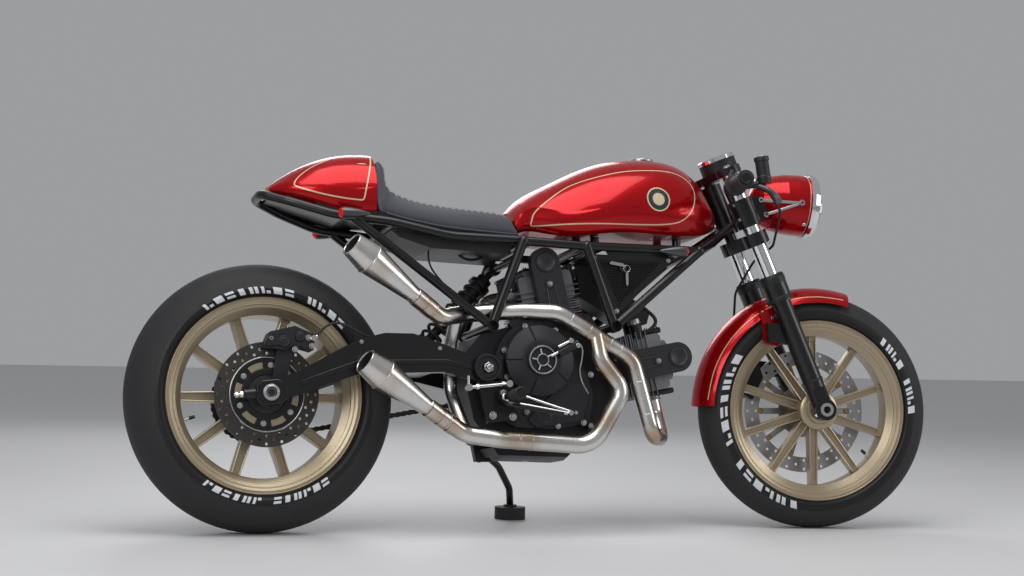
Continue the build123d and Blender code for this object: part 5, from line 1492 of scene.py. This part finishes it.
# %% Breather can above the front cylinder, with its bright neck and rubber hose
bm = bmesh.new()
rod(bm, (944.0, -62.0, 470.0), (932.0, -62.0, 506.0), 15.0, sides=24)
piece(bm, "breather_body", "chassis", "engine_black", bevel=1.5)
bm = bmesh.new()
rod(bm, (932.0, -62.0, 506.0), (928.0, -62.0, 519.0), 16.5, 15.0, sides=28)
hex_nut(bm, (926.0, -76.0, 508.0), RIGHT, 5.5, 4.0)
piece(bm, "breather_neck", "chassis", "bright_steel", bevel=1.2)
bm = bmesh.new()
BREATHER_HOSE = [
    (948, -60, 560), (962, -62, 546), (984, -66, 528), (990, -66, 512), (974, -64, 494), (950, -62, 480),
]
tube(bm, BREATHER_HOSE, 4.6, sides=10)
piece(bm, "breather_hose", "chassis", "soft_rubber", smooth_angle=80)

# %% [markdown]
# ## Exhaust
#
# Pipe sections are joined by weld beads and slipped into each other under a band. Each bead is
# a thin ring round the pipe's own line, and each muffler gets a liner painted black for the
# shade and soot inside its mouth, a rolled lip and a seam where its cone turns back.

# %% Weld beads, bands and muffler lips
LOWER_RUN = [
    (393.0, -152.0, 272.0), (467.0, -131.0, 226.0), (560.0, -146.0, 212.0), (782.0, -150.0, 198.0),
    (866.0, -148.0, 332.0), (808.0, -144.0, 408.0), (800.0, -137.0, 466.0),
]
UPPER_RUN = [
    (364.0, -150.0, 534.0), (412.0, -136.0, 501.0), (476.0, -92.0, 518.0), (560.0, -91.0, 526.0),
    (630.0, -112.0, 526.0), (708.0, -132.0, 522.0), (800.0, -137.0, 466.0),
]
HEADER_RUN = [(800.0, -137.0, 466.0), (896.0, -134.0, 412.0), (944.0, -136.0, 224.0), (990.0, -74.0, 222.0)]


def on_run(run, leg, share):
    """A point on one straight leg of a pipe, and the leg's direction."""
    a, b = Vector(run[leg]), Vector(run[leg + 1])
    return a.lerp(b, share), (b - a).normalized()


BEADS = [
    # run, pipe radius, (leg, share of the leg) of each bead
    (LOWER_RUN, 21.0, [(0, 0.34), (2, 0.16), (2, 0.30), (3, 0.42), (3, 0.66)]),
    (UPPER_RUN, 21.0, [(0, 0.5), (2, 0.45), (5, 0.30), (5, 0.80)]),
    (HEADER_RUN, 20.0, [(0, 0.35), (0, 0.62), (1, 0.30), (1, 0.72)]),
]
bm = bmesh.new()
for run, radius, spots in BEADS:
    for leg, share in spots:
        place, way = on_run(run, leg, share)
        ring(bm, place, way, radius + 0.1, 1.1, steps=36, sides=6)
print("weld beads", sum(len(spots) for _, _, spots in BEADS))
piece(bm, "weld_beads", "chassis", "steel_exhaust", smooth_angle=80)
PIPE_R = 21.0
BAND_R = PIPE_R + 1.6
BANDS = [(LOWER_RUN, 0.10, 0.30), (UPPER_RUN, 0.06, 0.44), (LOWER_RUN, 0.42, 0.62)]
bm = bmesh.new()
for run, near, far in BANDS:
    start, way = on_run(run, 0, near)
    end, _ = on_run(run, 0, far)
    length = (end - start).length
    lathe(bm, [(PIPE_R, 0), (BAND_R, 0.8), (BAND_R, length - 0.8), (PIPE_R, length)], start, way)
piece(bm, "slip_bands", "chassis", "steel_exhaust")
MUFFLERS = [
    ("upper", Vector((364.0, -150.0, 534.0)), Vector((178.0, -205.0, 660.0))),
    ("lower", Vector((393.0, -152.0, 272.0)), Vector((208.0, -205.0, 388.0))),
]
for name, small_end, mouth in MUFFLERS:
    way = (mouth - small_end).normalized()
    length = (mouth - small_end).length
    bm = bmesh.new()
    shoulder = small_end + way * length * 0.76
    ring(bm, shoulder, way, 39.0, 1.3, sides=6)
    ring(bm, small_end + way * 30.0, way, 20.6, 1.2, sides=6)
    ring(bm, mouth, way, 28.2, 2.0, sides=8)
    lathe(bm, [(20.4, 0), (22.6, 1), (22.6, 26), (20.4, 27)], small_end, way)
    piece(bm, f"{name}_muffler_seams", "chassis", "steel_exhaust", finish=MUFFLER_STEEL)
    # A black cup inside the mouth: painted shade in the opening, together with the soot that lines a real muffler.
    bm = bmesh.new()
    cup = [(0, -31.5), (23.6, -31.5), (24.9, -1.2), (25.9, -1.2), (24.7, -33.0), (0, -33.0)]
    lathe(bm, cup, mouth, way)
    piece(bm, f"{name}_muffler_soot_shade_liner", "chassis", "steel_exhaust", finish=SHADE_AND_SOOT_BLACK)

# %% [markdown]
# ## Perforated panels
#
# The frame's triangles are closed by thin plates full of round holes. Each hole is one honeycomb
# tile with a hexagon cut out of it, made from a ring of six faces; tiles that fall outside the
# plate's inner triangle are left out, and a plain border covers their ragged edge.

# %% Honeycomb tiles and borders
PANEL = [Vector((794.0, 0, 671.0)), Vector((1022.0, 0, 670.0)), Vector((862.0, 0, 520.0))]
PANEL_BOLTS = [(806.0, 662.2), (1002.0, 661.0), (862.1, 531.0)]
PANEL_Y = 122.5
HOLE_PITCH = 7.4
HOLE_R = 2.7
PANEL_ROWS = 26
PANEL_COLUMNS = 34


def inside(corners, x, z, margin):
    """Whether a point is inside a triangle, further than a margin from its sides."""
    for a, b in zip(corners, corners[1:] + corners[:1]):
        edge = (b - a).normalized()
        if (Vector((x, 0, z)) - a).dot(Vector((edge.z, 0, -edge.x))) < margin:
            return False
    return True


def turns(corners):
    """A triangle's corners three times, each time starting with the next one."""
    return [corners[i:] + corners[:i] for i in range(3)]


def inset_corners(corners, distance):
    """A triangle's corners moved in by the same distance from every side."""
    centre = sum(((b - c).length * a for a, b, c in turns(corners)), Vector())
    sides = sum((b - c).length for a, b, c in turns(corners))
    centre /= sides
    area = (corners[1] - corners[0]).cross(corners[2] - corners[0]).length / 2
    return [c.lerp(centre, distance / (2 * area / sides)) for c in corners]


for side, tag in ((-1, "right"), (1, "left")):
    bm = bmesh.new()
    upright = Matrix.Rotation(math.pi / 2, 4, "X") @ Matrix.Rotation(math.pi / 6, 4, "Z")
    for row in range(PANEL_ROWS):
        for column in range(PANEL_COLUMNS):
            x = PANEL[0].x + (column + 0.5 * (row % 2)) * HOLE_PITCH
            z = PANEL[2].z + row * HOLE_PITCH * math.sqrt(3) / 2
            if not inside(PANEL, x, z, 14.0):
                continue
            place = Matrix.Translation((x, side * PANEL_Y, z)) @ upright
            tile = bmesh.ops.create_circle(bm, segments=6, radius=HOLE_PITCH / math.sqrt(3), matrix=place)
            hole = bmesh.ops.create_circle(bm, segments=6, radius=HOLE_R, matrix=place)
            edges = {e for v in tile["verts"] + hole["verts"] for e in v.link_edges}
            bmesh.ops.bridge_loops(bm, edges=list(edges))
    lift = Vector((0, side * (PANEL_Y + 1.4), 0))
    border = [bm.verts.new(c + lift) for c in PANEL + inset_corners(PANEL, 17.0)]
    for i in range(3):
        j = (i + 1) % 3
        bm.faces.new((border[i], border[j], border[3 + j], border[3 + i]))
    bmesh.ops.solidify(bm, geom=bm.faces[:], thickness=1.4)
    panel = piece(bm, f"side_panel_mesh_{tag}", "chassis", "frame_black", smooth_angle=20)
    if side == -1:
        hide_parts("side_panels")
bm = bmesh.new()
for side in (-1, 1):
    for x, z in PANEL_BOLTS:
        bolt(bm, (x, side * (PANEL_Y + 2.6), z), (0, side, 0), 4.6, 4.0)
piece(bm, "panel_bolts", "chassis", "bright_steel", finish=BOLT_STEEL)
bm = bmesh.new()
for side in (-1, 1):
    plate(bm, [(836, 682), (1010, 682), (1000, 668), (846, 668)], side * 118.0, side * 121.0)
    plate(bm, [(856, 524), (870, 524), (874, 500), (852, 500)], side * 118.0, side * 121.0)
piece(bm, "panel_tabs", "chassis", "frame_black", bevel=0.6)
# A black sheet behind the holes: painted shade where the holes look into the frame.
bm = bmesh.new()
for side in (-1, 1):
    hidden = inset_corners(PANEL, 10.0)
    plate(bm, [(c.x, c.z) for c in hidden], side * (PANEL_Y - 5.0), side * (PANEL_Y - 6.5))
piece(bm, "panel_shade_backings", "chassis", "frame_black", finish=SHADE_AND_SOOT_BLACK)
bm = bmesh.new()
across(bm, 880.0, 637.0, 9.0, -122.0, -130.0, 24)
piece(bm, "key_lock", "chassis", "engine_black", bevel=1.0)
bm = bmesh.new()
KEY_BLADE = [(843, 647), (847, 653), (877, 649), (885, 643), (883, 638), (877, 641), (849, 645)]
plate(bm, KEY_BLADE, -131.0, -134.0)
ring(bm, (888.0, -133.0, 636.0), RIGHT, 8.5, 0.8, steps=32, sides=6)
plate(bm, [(885, 626), (891, 626), (891, 597), (888, 593), (885, 597)], -132.4, -134.0)
piece(bm, "ignition_key", "chassis", "bright_steel", bevel=0.5)

# %% [markdown]
# ## Shock absorber
#
# A coil spring is one wire wound round a cylinder. Its path is worked out point by point and a
# round section is carried along it. The plain cylinder of the frame is replaced by the damper's
# own turned parts with the spring round them.

# %% Damper, spring seats and spring
SHOCK_FOOT = Vector((394.0, 44.0, 434.0))
SHOCK_HEAD = Vector((604.0, 60.0, 652.0))
shock_way = (SHOCK_HEAD - SHOCK_FOOT).normalized()
SHOCK_LENGTH = (SHOCK_HEAD - SHOCK_FOOT).length
COILS = 8
WIRE_R = 4.2
COIL_STEPS = 20
DAMPER = [
    (0, 0), (9, 0), (9, 36), (27, 38), (27, 44), (12, 46), (12, 160), (21, 162), (21, 236), (29, 238),
    (29, 250), (20, 252), (20, 268), (9, 270), (9, SHOCK_LENGTH - 6), (0, SHOCK_LENGTH - 6),
]
bm = bmesh.new()
lathe(bm, DAMPER, SHOCK_FOOT, shock_way)
across(bm, SHOCK_HEAD.x, SHOCK_HEAD.z, 16.0, 48.0, 72.0)
damper = piece(bm, "damper", "chassis", "engine_black", bevel=0.8)
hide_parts("shock_absorber")
first_side = shock_way.orthogonal().normalized()
second_side = shock_way.cross(first_side)
spring_path = []
for i in range(COILS * COIL_STEPS + 1):
    angle = math.tau * i / COIL_STEPS
    outward = first_side * math.cos(angle) + second_side * math.sin(angle)
    along = shock_way * (48 + 186 * i / (COILS * COIL_STEPS))
    spring_path.append(SHOCK_FOOT + along + outward * 24.0)
bm = bmesh.new()
tube(bm, spring_path, WIRE_R, sides=8, smooth=False)
piece(bm, "spring", "chassis", "engine_black", finish=FINISHES["soft_rubber"], smooth_angle=80)

# %% [markdown]
# ## Turn signals
#
# Each lamp is a bullet turned in one go, with a red lens closing its wide end. The lens is a
# separate piece, since glass and metal need different finishes.

# %% Four bullet lamps
BULLET = [
    (0, 70), (3.0, 66), (6.5, 54), (10.5, 38), (13.2, 22), (14.2, 8), (14.2, 0), (12.6, 0), (12.6, 4),
    (0, 4),
]
LENS = [(0, -9.5), (5.0, -8.8), (9.6, -6.2), (12.2, -2.0), (12.4, 3.0), (0, 3.0)]
SIGNAL_SPOTS = [(168.0, 744.0, 1), (1038.0, 681.0, -1)]
metal, lens = bmesh.new(), bmesh.new()
for side in (-1, 1):
    for x, z, back in SIGNAL_SPOTS:
        lathe(metal, BULLET, (x, side * 150.0, z), (back, 0, 0), steps=32)
        lathe(lens, LENS, (x, side * 150.0, z), (back, 0, 0), steps=32)
    rod(metal, (186.0, side * 117.0, 743.0), (190.0, side * 146.0, 744.0), 5.0, sides=16)
    rod(metal, (1012.0, side * 122.0, 690.0), (1012.0, side * 146.0, 683.0), 5.0, sides=16)
lamp_bodies = piece(metal, "signal_bodies", "chassis", "frame_black", finish=SIGNAL_STEEL, smooth_angle=35)
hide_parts("turn_signals")
piece(lens, "signal_lenses", "chassis", "clear_glass", finish=RED_LENS, smooth_angle=50)

# %% [markdown]
# ## Foot controls, rear caliper and swingarm
#
# These are small mechanisms of plain forms: turned pegs with raised ribs, rods between clevis
# pins, pistons behind a plate. What makes them look right is that each rod ends in something.

# %% Foot controls: ribbed pegs, the pedal's link and its two bright arms
PEG_RIBS = 9
RIB_PITCH = 8.8
PEG_RIB = ((15.0, 2.0), (15.0, 7.0), (13.2, 8.0), (13.2, 10.0))
bm = bmesh.new()
for side in (-1, 1):
    inner, outer = Vector((578.0, side * 150.0, 313.0)), Vector((578.0, side * 230.0, 318.0))
    way = (outer - inner).normalized()
    profile = [(12.0, 0)]
    for i in range(PEG_RIBS):
        profile += [(r, at + RIB_PITCH * i) for r, at in PEG_RIB]
    lathe(bm, profile + [(12.0, 82)], inner, way, steps=24)
piece(bm, "peg_rubbers", "chassis", "soft_rubber", smooth_angle=30)
bm = bmesh.new()
rod(bm, (474.0, -166.0, 334.5), (562.0, -166.0, 343.0), 4.4, sides=16)
for x, z in ((468.0, 334.0), (568.0, 344.0)):
    across(bm, x, z, 8.5, -160.0, -172.0, 20)
for x, z in ((486.0, 335.6), (550.0, 342.0)):
    hex_nut(bm, (x, -166.0, z), (1, 0, 0.09), 7.0, 7.0)
rod(bm, (468.0, -164.0, 330.0), (468.0, -164.0, 362.0), 3.4, sides=12)
LOW_ARM = [(556, -168, 322), (548, -172, 306), (560, -178, 299), (620, -192, 288), (711, -206, 270)]
HIGH_ARM = [(586, -170, 322), (606, -176, 313), (650, -190, 296), (708, -206, 276)]
tube(bm, LOW_ARM, 4.0, sides=10)
tube(bm, HIGH_ARM, 3.2, sides=10)
hex_nut(bm, (552.0, -160.0, 322.0), RIGHT, 9.0, 12.0)
across(bm, 704.0, 272.0, 6.0, -200.0, -222.0, 16)
piece(bm, "pedal_linkage", "chassis", "bright_steel", finish=BOLT_STEEL, smooth_angle=35)

# %% Rear caliper: pistons, bridge bolts and its hose
bm = bmesh.new()
for x, z, r in ((34.0, 440.0, 15.0), (72.0, 452.0, 13.0)):
    piston = [(0, 7), (r * 0.5, 7), (r * 0.6, 5), (r * 0.86, 6), (r, 3), (r, 0), (0, 0)]
    lathe(bm, piston, (x, -127.0, z), RIGHT, steps=32)
plate(bm, [(-10, 428), (2, 458), (20, 464), (24, 430)], -127.0, -132.0)
piece(bm, "rear_caliper_pistons", "chassis", "engine_black", bevel=1.0)
bm = bmesh.new()
for x, z in ((60.0, 421.0), (92.0, 449.0), (4.0, 446.0), (100.0, 430.0)):
    bolt(bm, (x, -128.0, z), RIGHT, 5.6, 5.0)
hex_nut(bm, (103.0, -130.0, 447.0), RIGHT, 8.0, 9.0)
rod(bm, (96.0, -134.0, 444.0), (112.0, -134.0, 452.0), 4.4, sides=14)
piece(bm, "rear_caliper_bolts", "chassis", "bright_steel", finish=BOLT_STEEL, smooth_angle=35)
REAR_HOSE = [
    (108, -134, 450), (122, -134, 470), (150, -130, 486), (182, -128, 482), (214, -130, 462),
    (240, -132, 452),
]
bm = bmesh.new()
tube(bm, REAR_HOSE, 3.0, sides=8)
piece(bm, "rear_brake_hose", "chassis", "soft_rubber", smooth_angle=80)

# %% Swingarm: a pressed ridge and the guard's screws
ARM_RIDGE = [(70, 336), (208, 386), (420, 392), (500, 376), (500, 384), (420, 402), (206, 397), (68, 346)]
bm = bmesh.new()
for y_from, y_to in ((-146.0, -149.0), (146.0, 149.0)):
    plate(bm, ARM_RIDGE, y_from, y_to)
piece(bm, "arm_ridge", "chassis", "frame_black", bevel=1.4)
bm = bmesh.new()
for x, z in ((214.0, 440.0), (404.0, 428.0)):
    bolt(bm, (x, -146.0, z), RIGHT, 4.0, 3.5)
piece(bm, "arm_screws", "chassis", "bright_steel", finish=BOLT_STEEL)

# %% Under the seat: two loops of wire, and the tank's front mounts
WIRES = [
    # radius, guide points
    (2.4, [(410, -34, 692), (407, -32, 668), (414, -30, 640), (432, -30, 616), (448, -28, 600)]),
    (3.2, [(470, -20, 690), (492, -24, 668), (522, -24, 660), (556, -20, 672), (572, -16, 690)]),
]
bm = bmesh.new()
for radius, guide in WIRES:
    tube(bm, guide, radius, sides=8)
piece(bm, "seat_wires", "chassis", "soft_rubber", smooth_angle=80)
mount_spot, mount_normal = thrown("fuel_tank", CHASSIS, (1157.0, -60.0, 765.0), lift=-2.0)
grommets, bolts = bmesh.new(), bmesh.new()
for side in (-1, 1):
    flip = Vector((1, -side, 1))
    spot, way = mount_spot * flip, mount_normal * flip
    lathe(grommets, [(0, 0), (9, 0), (9, 3), (6, 5), (0, 5)], spot, way, steps=28)
    bolt(bolts, spot + way * 5, way, 4.6, 3.5)
print("tank mount", [round(v, 1) for v in mount_spot])
piece(grommets, "tank_mount_grommets", "chassis", "candy_red")
piece(bolts, "tank_mount_bolts", "chassis", "bright_steel", finish=BOLT_STEEL)

# %% Sump fins, drain plug and the left cover's bolts
bm = bmesh.new()
for i in range(9):
    y = -48.0 + 12.0 * i
    plate(bm, [(580, 184), (590, 172), (742, 168), (760, 184)], y - 1.6, y + 1.6)
piece(bm, "sump_fins", "chassis", "raw_alloy", finish=RAW_HEAD, bevel=0.5)
LEFT_BOLTS = 9
bm = bmesh.new()
hex_nut(bm, (660.0, 0.0, 176.0), (0, 0, -1), 11.0, 9.0)
for i in range(LEFT_BOLTS):
    angle = math.tau * i / LEFT_BOLTS
    spot = CRANK + Vector((70.0 * math.cos(angle), 140.0, 70.0 * math.sin(angle)))
    bolt(bm, spot, LEFT, 4.8, 4.5)
for x, z in ((592.0, 346.0), (600.0, 414.0), (660.0, 330.0)):
    bolt(bm, (x, 129.0, z), LEFT, 4.8, 4.5)
piece(bm, "left_cover_bolts", "chassis", "bright_steel", finish=BOLT_STEEL)
bm = bmesh.new()
cover_face = CRANK + Vector((0, 139.0, 0))
for outline in (
    [(0, 5), (40, 5), (44, 3), (46, 0), (0, 0)], [(54, 0), (60, 4), (64, 4), (66, 0), (54, 0)]
):
    lathe(bm, outline, cover_face, LEFT)
piece(bm, "left_cover_relief", "chassis", "engine_black", bevel=0.6)

# %% [markdown]
# ## Headlight
#
# Behind the glass sit a bright dish and a bulb. The dish is shallow, because the frame's shell
# has a closed front, and fine steps in its profile stand in for the pressed pattern of a lens.

# %% Dish, bulb, painted line and screws
LAMP = Vector((1440.0, 0.0, 832.0))
LAMP_DIP = math.radians(-4.5)
lamp_way = Vector((math.cos(LAMP_DIP), 0, math.sin(LAMP_DIP)))
dish = [(0, 2.0), (14, 2.0), (16, 0.6)]
for i in range(12):
    r = 18.0 + 4.2 * i
    dish += [(r, 0.2 + 0.035 * i * i), (r + 2.1, 1.2 + 0.035 * i * i)]
bm = bmesh.new()
lathe(bm, dish + [(70.5, 6.0), (70.5, -1.5), (0, -1.5)], LAMP - lamp_way * 2.0, lamp_way, steps=96)
piece(bm, "lamp_dish", "steering", "chrome_plate", smooth_angle=20)
bm = bmesh.new()
lathe(bm, [(0, 10.5), (5, 10), (8, 7), (9, 0), (0, 0)], LAMP, lamp_way, steps=32)
# The bulb glass glows faintly: painted light in the frosted glass, not a lit lamp.
BULB_GLASS = clear_material("frosted bulb glass", (1.0, 0.98, 0.92), 0.3, 0.4)
piece(bm, "lamp_bulb", "steering", "clear_glass", finish=BULB_GLASS)
bm = bmesh.new()
ring(bm, LAMP - lamp_way * 17.5, lamp_way, 79.0, 0.9, steps=120, sides=6)
piece(bm, "lamp_line", "steering", "candy_red", finish=CREAM, smooth_angle=80)
bm = bmesh.new()
STAY_BOLTS = [(1283.0, 101.0, 835.0), (1296.0, 101.0, 798.0), (1395.0, 92.0, 831.0)]
SCREW = [(0, 1), (3.4, 1), (3.4, 3.4), (6.4, 3.4), (7.4, 1.6), (7.4, 0), (0, 0)]
for side in (-1, 1):
    for x, y, z in STAY_BOLTS:
        lathe(bm, SCREW, (x, side * y, z), (0, side, 0), steps=24)
    outward = Vector((0, side * 0.72, -0.694))
    bolt(bm, LAMP - lamp_way * 30.0 + outward * 78.8, outward, 4.2, 2.6)
piece(bm, "lamp_screws", "steering", "bright_steel", finish=BOLT_STEEL)
# A near-black hexagon in each screw head: painted shade in its socket.
bm = bmesh.new()
for side in (-1, 1):
    for x, y, z in STAY_BOLTS:
        across(bm, x, z, 3.3, side * (y + 0.6), side * (y + 1.8), 6)
piece(bm, "screw_pocket_shades", "steering", "dark_plastic", finish=SHADE_AND_SOOT_BLACK)

# %% [markdown]
# ## Instrument
#
# The gauge is a cup with a polished bezel, a matt dial, printed marks and a needle. The marks are
# small plates set round a circle, because geometry stays sharp at any distance.

# %% Bezel, dial, marks and needle
gauge_up = Vector((-0.36, 0, 0.93)).normalized()
GAUGE_TOP = Vector((1198.0, 0, 936.0)) + gauge_up * 16.0
gauge_side = Vector((0, 1, 0))
gauge_ahead = gauge_side.cross(gauge_up)


def on_dial(radius, angle, lift):
    """A point above the dial, at an angle round it that is 0 at the rider's left."""
    a = math.radians(angle)
    out = gauge_side * radius * math.cos(a) + gauge_ahead * radius * math.sin(a)
    return GAUGE_TOP + out + gauge_up * lift


BEZEL = [(41, 1.0), (42, 4.5), (46, 5.5), (49, 3.0), (49, -6), (47.5, -6), (41, 1.0)]
bm = bmesh.new()
lathe(bm, BEZEL, GAUGE_TOP, gauge_up, steps=72)
piece(bm, "gauge_bezel", "steering", "chrome_plate")
bm = bmesh.new()
lathe(bm, [(0, 1.2), (41.5, 1.2), (41.5, 0), (0, 0)], GAUGE_TOP, gauge_up, steps=64)
piece(bm, "gauge_dial", "steering", "dark_plastic", finish=DIAL_PAINT)
DIAL_MARKS = 25
MARK_STEP = 11.25
NEEDLE_AT = 205.0
bm = bmesh.new()
for i in range(DIAL_MARKS):
    angle = -45 + MARK_STEP * i
    inner, thick = (34.5, 0.55) if i % 3 else (31.0, 0.9)
    rod(bm, on_dial(inner, angle, 1.5), on_dial(38.5, angle, 1.5), thick, sides=4)
rod(bm, on_dial(-8, NEEDLE_AT, 2.6), on_dial(30, NEEDLE_AT, 2.6), 1.3, 0.5, sides=6)
lathe(bm, [(0, 4), (4, 3.4), (4.4, 1.2), (0, 1.2)], GAUGE_TOP, gauge_up, steps=24)
piece(bm, "gauge_marks", "steering", "dark_plastic", finish=WHITE_PRINT)
GAUGE_GLASS = [(0, 4.8), (30, 4.4), (42, 3.4), (42, 2.8), (30, 3.8), (0, 4.2), (0, 4.8)]
bm = bmesh.new()
lathe(bm, GAUGE_GLASS, GAUGE_TOP, gauge_up, steps=48)
piece(bm, "gauge_glass", "steering", "clear_glass", finish=GLASS)

# %% [markdown]
# ## Controls and fork
#
# Everything here turns with the bars. A grip is turned in one go about the bar's own line, with
# its ribs in the profile, and the fork's rings sit on the line of each leg, which the rake gives.

# %% Grips: ribs, flange and the bar's open end
BAR_HEIGHT = 856.0
GRIP_RIBS = 14
GRIP_RIB = ((20.4, 0.0), (20.4, 4.6), (19.2, 5.4), (19.2, 7.0))
BAR_END = [(0, -6), (9.2, -6), (9.4, 4.0), (11.0, 5.4), (14.0, 5.0), (15.6, 2.0), (15.6, -1), (0, -1)]
clamp_x = FRONT_AXLE.x + (FRONT_AXLE.z - BAR_HEIGHT) * math.tan(RAKE) - 24.0
bm_grip, bm_end = bmesh.new(), bmesh.new()
for side in (-1, 1):
    end = Vector((1176.0, side * 340.0, BAR_HEIGHT))
    start = Vector((clamp_x, side * 110.0, 858.0))
    run = end - start
    way = run.normalized()
    inner = start + run * 0.46
    length = (start + run * 0.985 - inner).length
    profile = [(11.2, 0), (27.0, 0), (28.0, 2), (27.0, 5), (20.0, 7)]
    for i in range(GRIP_RIBS):
        at = 9.0 + (length - 16.0) * i / GRIP_RIBS
        profile += [(r, at + step) for r, step in GRIP_RIB]
    profile += [(20.8, length - 5), (21.2, length), (12.0, length + 1), (11.2, length), (11.2, 0)]
    lathe(bm_grip, profile, inner, way)
    lathe(bm_end, BAR_END, inner + way * length, way)
grips = piece(bm_grip, "ribbed_grips", "steering", "soft_rubber", smooth_angle=30)
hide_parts("grips")
piece(bm_end, "bar_ends", "steering", "engine_black")

# %% Levers, reservoir cap, switches and bar clamps
LEVER = [
    (1240, 190, 861), (1262, 214, 850), (1272, 236, 836), (1270, 280, 821), (1264, 312, 809),
    (1262, 324, 806),
]
bm = bmesh.new()
for side in (-1, 1):
    tube(bm, [(x, side * y, z) for x, y, z in LEVER], 7.4, sides=12)
    rod(bm, (1262, side * 321, 806.6), (1261.4, side * 327, 804.6), 8.6, 7.6, sides=16)
piece(bm, "lever_blades", "steering", "raw_alloy", finish=LEVER_ALLOY, smooth_angle=60)
reservoir_up = Vector((-8.0, 0, 60.0)).normalized()
RESERVOIR_CAP = [(0, 7), (17.5, 7), (19.0, 5.5), (19.0, -4), (17, -5), (0, -5)]
RESERVOIR_FOOT = [(17.2, -1), (18.2, 0), (18.2, 8), (17.2, 9)]
SWITCH = [(1178, 846), (1206, 842), (1210, 872), (1184, 878)]
cap_at = Vector((1256.0, -200.0, 924.0))
bm = bmesh.new()
lathe(bm, RESERVOIR_CAP, cap_at, reservoir_up, steps=40)
lathe(bm, RESERVOIR_FOOT, (1262.6, -200.0, 874.0), reservoir_up, steps=40)
for side in (-1, 1):
    plate(bm, SWITCH, side * 168.0, side * 182.0)
    rod(bm, (1186.0, side * 158.0, 884.0), (1196.0, side * 158.0, 900.0), 7.0, sides=16)
piece(bm, "control_housings", "steering", "dark_plastic", bevel=1.0)
bm = bmesh.new()
for offset in (-9.0, 9.0):
    bolt(bm, cap_at + Vector((0, offset, 0)) + reservoir_up * 7, reservoir_up, 2.6, 1.8)
for side in (-1, 1):
    bolt(bm, (1194.0, side * 182.0, 866.0), (0, side, 0), 4.2, 4.0)
    bolt(bm, (1192.0, side * 182.0, 852.0), (0, side, 0), 4.2, 4.0)
    hex_nut(bm, (1240.0, side * 192.0, 868.0), (0, 0, 1), 6.0, 6.0)
piece(bm, "control_bolts", "steering", "bright_steel", finish=BOLT_STEEL)

# %% Fork: caps, clamp bolts, dust seals and the sliders' rings
fork_up = Vector((-math.sin(RAKE), 0, math.cos(RAKE)))


def on_fork(side, z):
    """A point on the centre line of one fork leg, at a height."""
    return Vector((FRONT_AXLE.x + (FRONT_AXLE.z - z) * math.tan(RAKE), side * 104.0, z))


CAP_HEIGHT = 910.0
FORK_CAP = [(0, 7), (8, 7), (9, 5), (16, 5), (19, 2.5), (20.6, 0), (20.6, -3), (0, -3)]
FORK_RINGS = [
    # height, profile
    (636.0 + 6 * fork_up.z, [
        (21.8, 0), (30, 0), (33, -3), (33.8, -12), (33.8, -20), (33, -24), (33, -26), (21.8, -26)]),
    (578.0, [(25.6, 0), (33.6, 0), (34.4, 2), (34.4, 9), (33.0, 11), (25.6, 11)]),
    (372.0, [(25.6, 0), (27.4, 1), (27.4, 5), (25.6, 6)]),
]
bm_black, bm_bright = bmesh.new(), bmesh.new()
for side in (-1, 1):
    lathe(bm_bright, FORK_CAP, on_fork(side, CAP_HEIGHT), fork_up)
    hex_nut(bm_bright, on_fork(side, CAP_HEIGHT) + fork_up * 6, fork_up, 9.0, 6.0)
    for height, profile in FORK_RINGS:
        lathe(bm_black, profile, on_fork(side, height), fork_up)
    for z in (722.0, 897.0):
        where = on_fork(side, z) + Vector((24.0, side * 16.0, 4.0))
        bolt(bm_bright, where, (0.75, side * 0.66, 0.1), 4.6, 4.5)
    for z in (782.0, 818.0):
        leg = on_fork(side, z)
        rod(bm_black, leg + Vector((-24.0, side * 14.0, 0)), leg + Vector((-30.0, -side * 16.0, 0)), 7.0)
        bolt(bm_bright, leg + Vector((-23.0, side * 16.0, 0)), (-0.2, side, 0), 4.6, 4.0)
    bolt(bm_bright, (FRONT_AXLE.x - 22.0, side * 112.0, FRONT_AXLE.z - 14.0), (-0.8, 0, -0.6), 5.0, 4.5)
piece(bm_black, "fork_rings", "steering", "engine_black", bevel=0.5)
piece(bm_bright, "fork_caps_and_bolts", "steering", "bright_steel", finish=BOLT_STEEL)

# %% Fender bolts and front caliper
bm = bmesh.new()
for side in (-1, 1):
    bolt(bm, (1310.0, side * 78.0, 500.0), (0, side, 0), 5.0, 4.0)
    bolt(bm, (1318.0, side * 78.0, 536.0), (0, side, 0), 5.0, 4.0)
for x, z in ((1300.0, 410.0), (1392.0, 402.0)):
    bolt(bm, (x, 104.0, z), LEFT, 6.0, 5.5)
hex_nut(bm, (1288.0, 97.0, 432.0), LEFT, 8.0, 8.0)
piece(bm, "front_end_bolts", "steering", "bright_steel", finish=BOLT_STEEL)
bm = bmesh.new()
for x, z in ((1290.0, 352.0), (1302.0, 396.0)):
    lathe(bm, [(0, 6), (10, 6), (12, 4), (15, 5), (17, 2), (17, 0), (0, 0)], (x, 95.5, z), LEFT, steps=32)
piece(bm, "front_caliper_pistons", "steering", "engine_black", bevel=0.8)
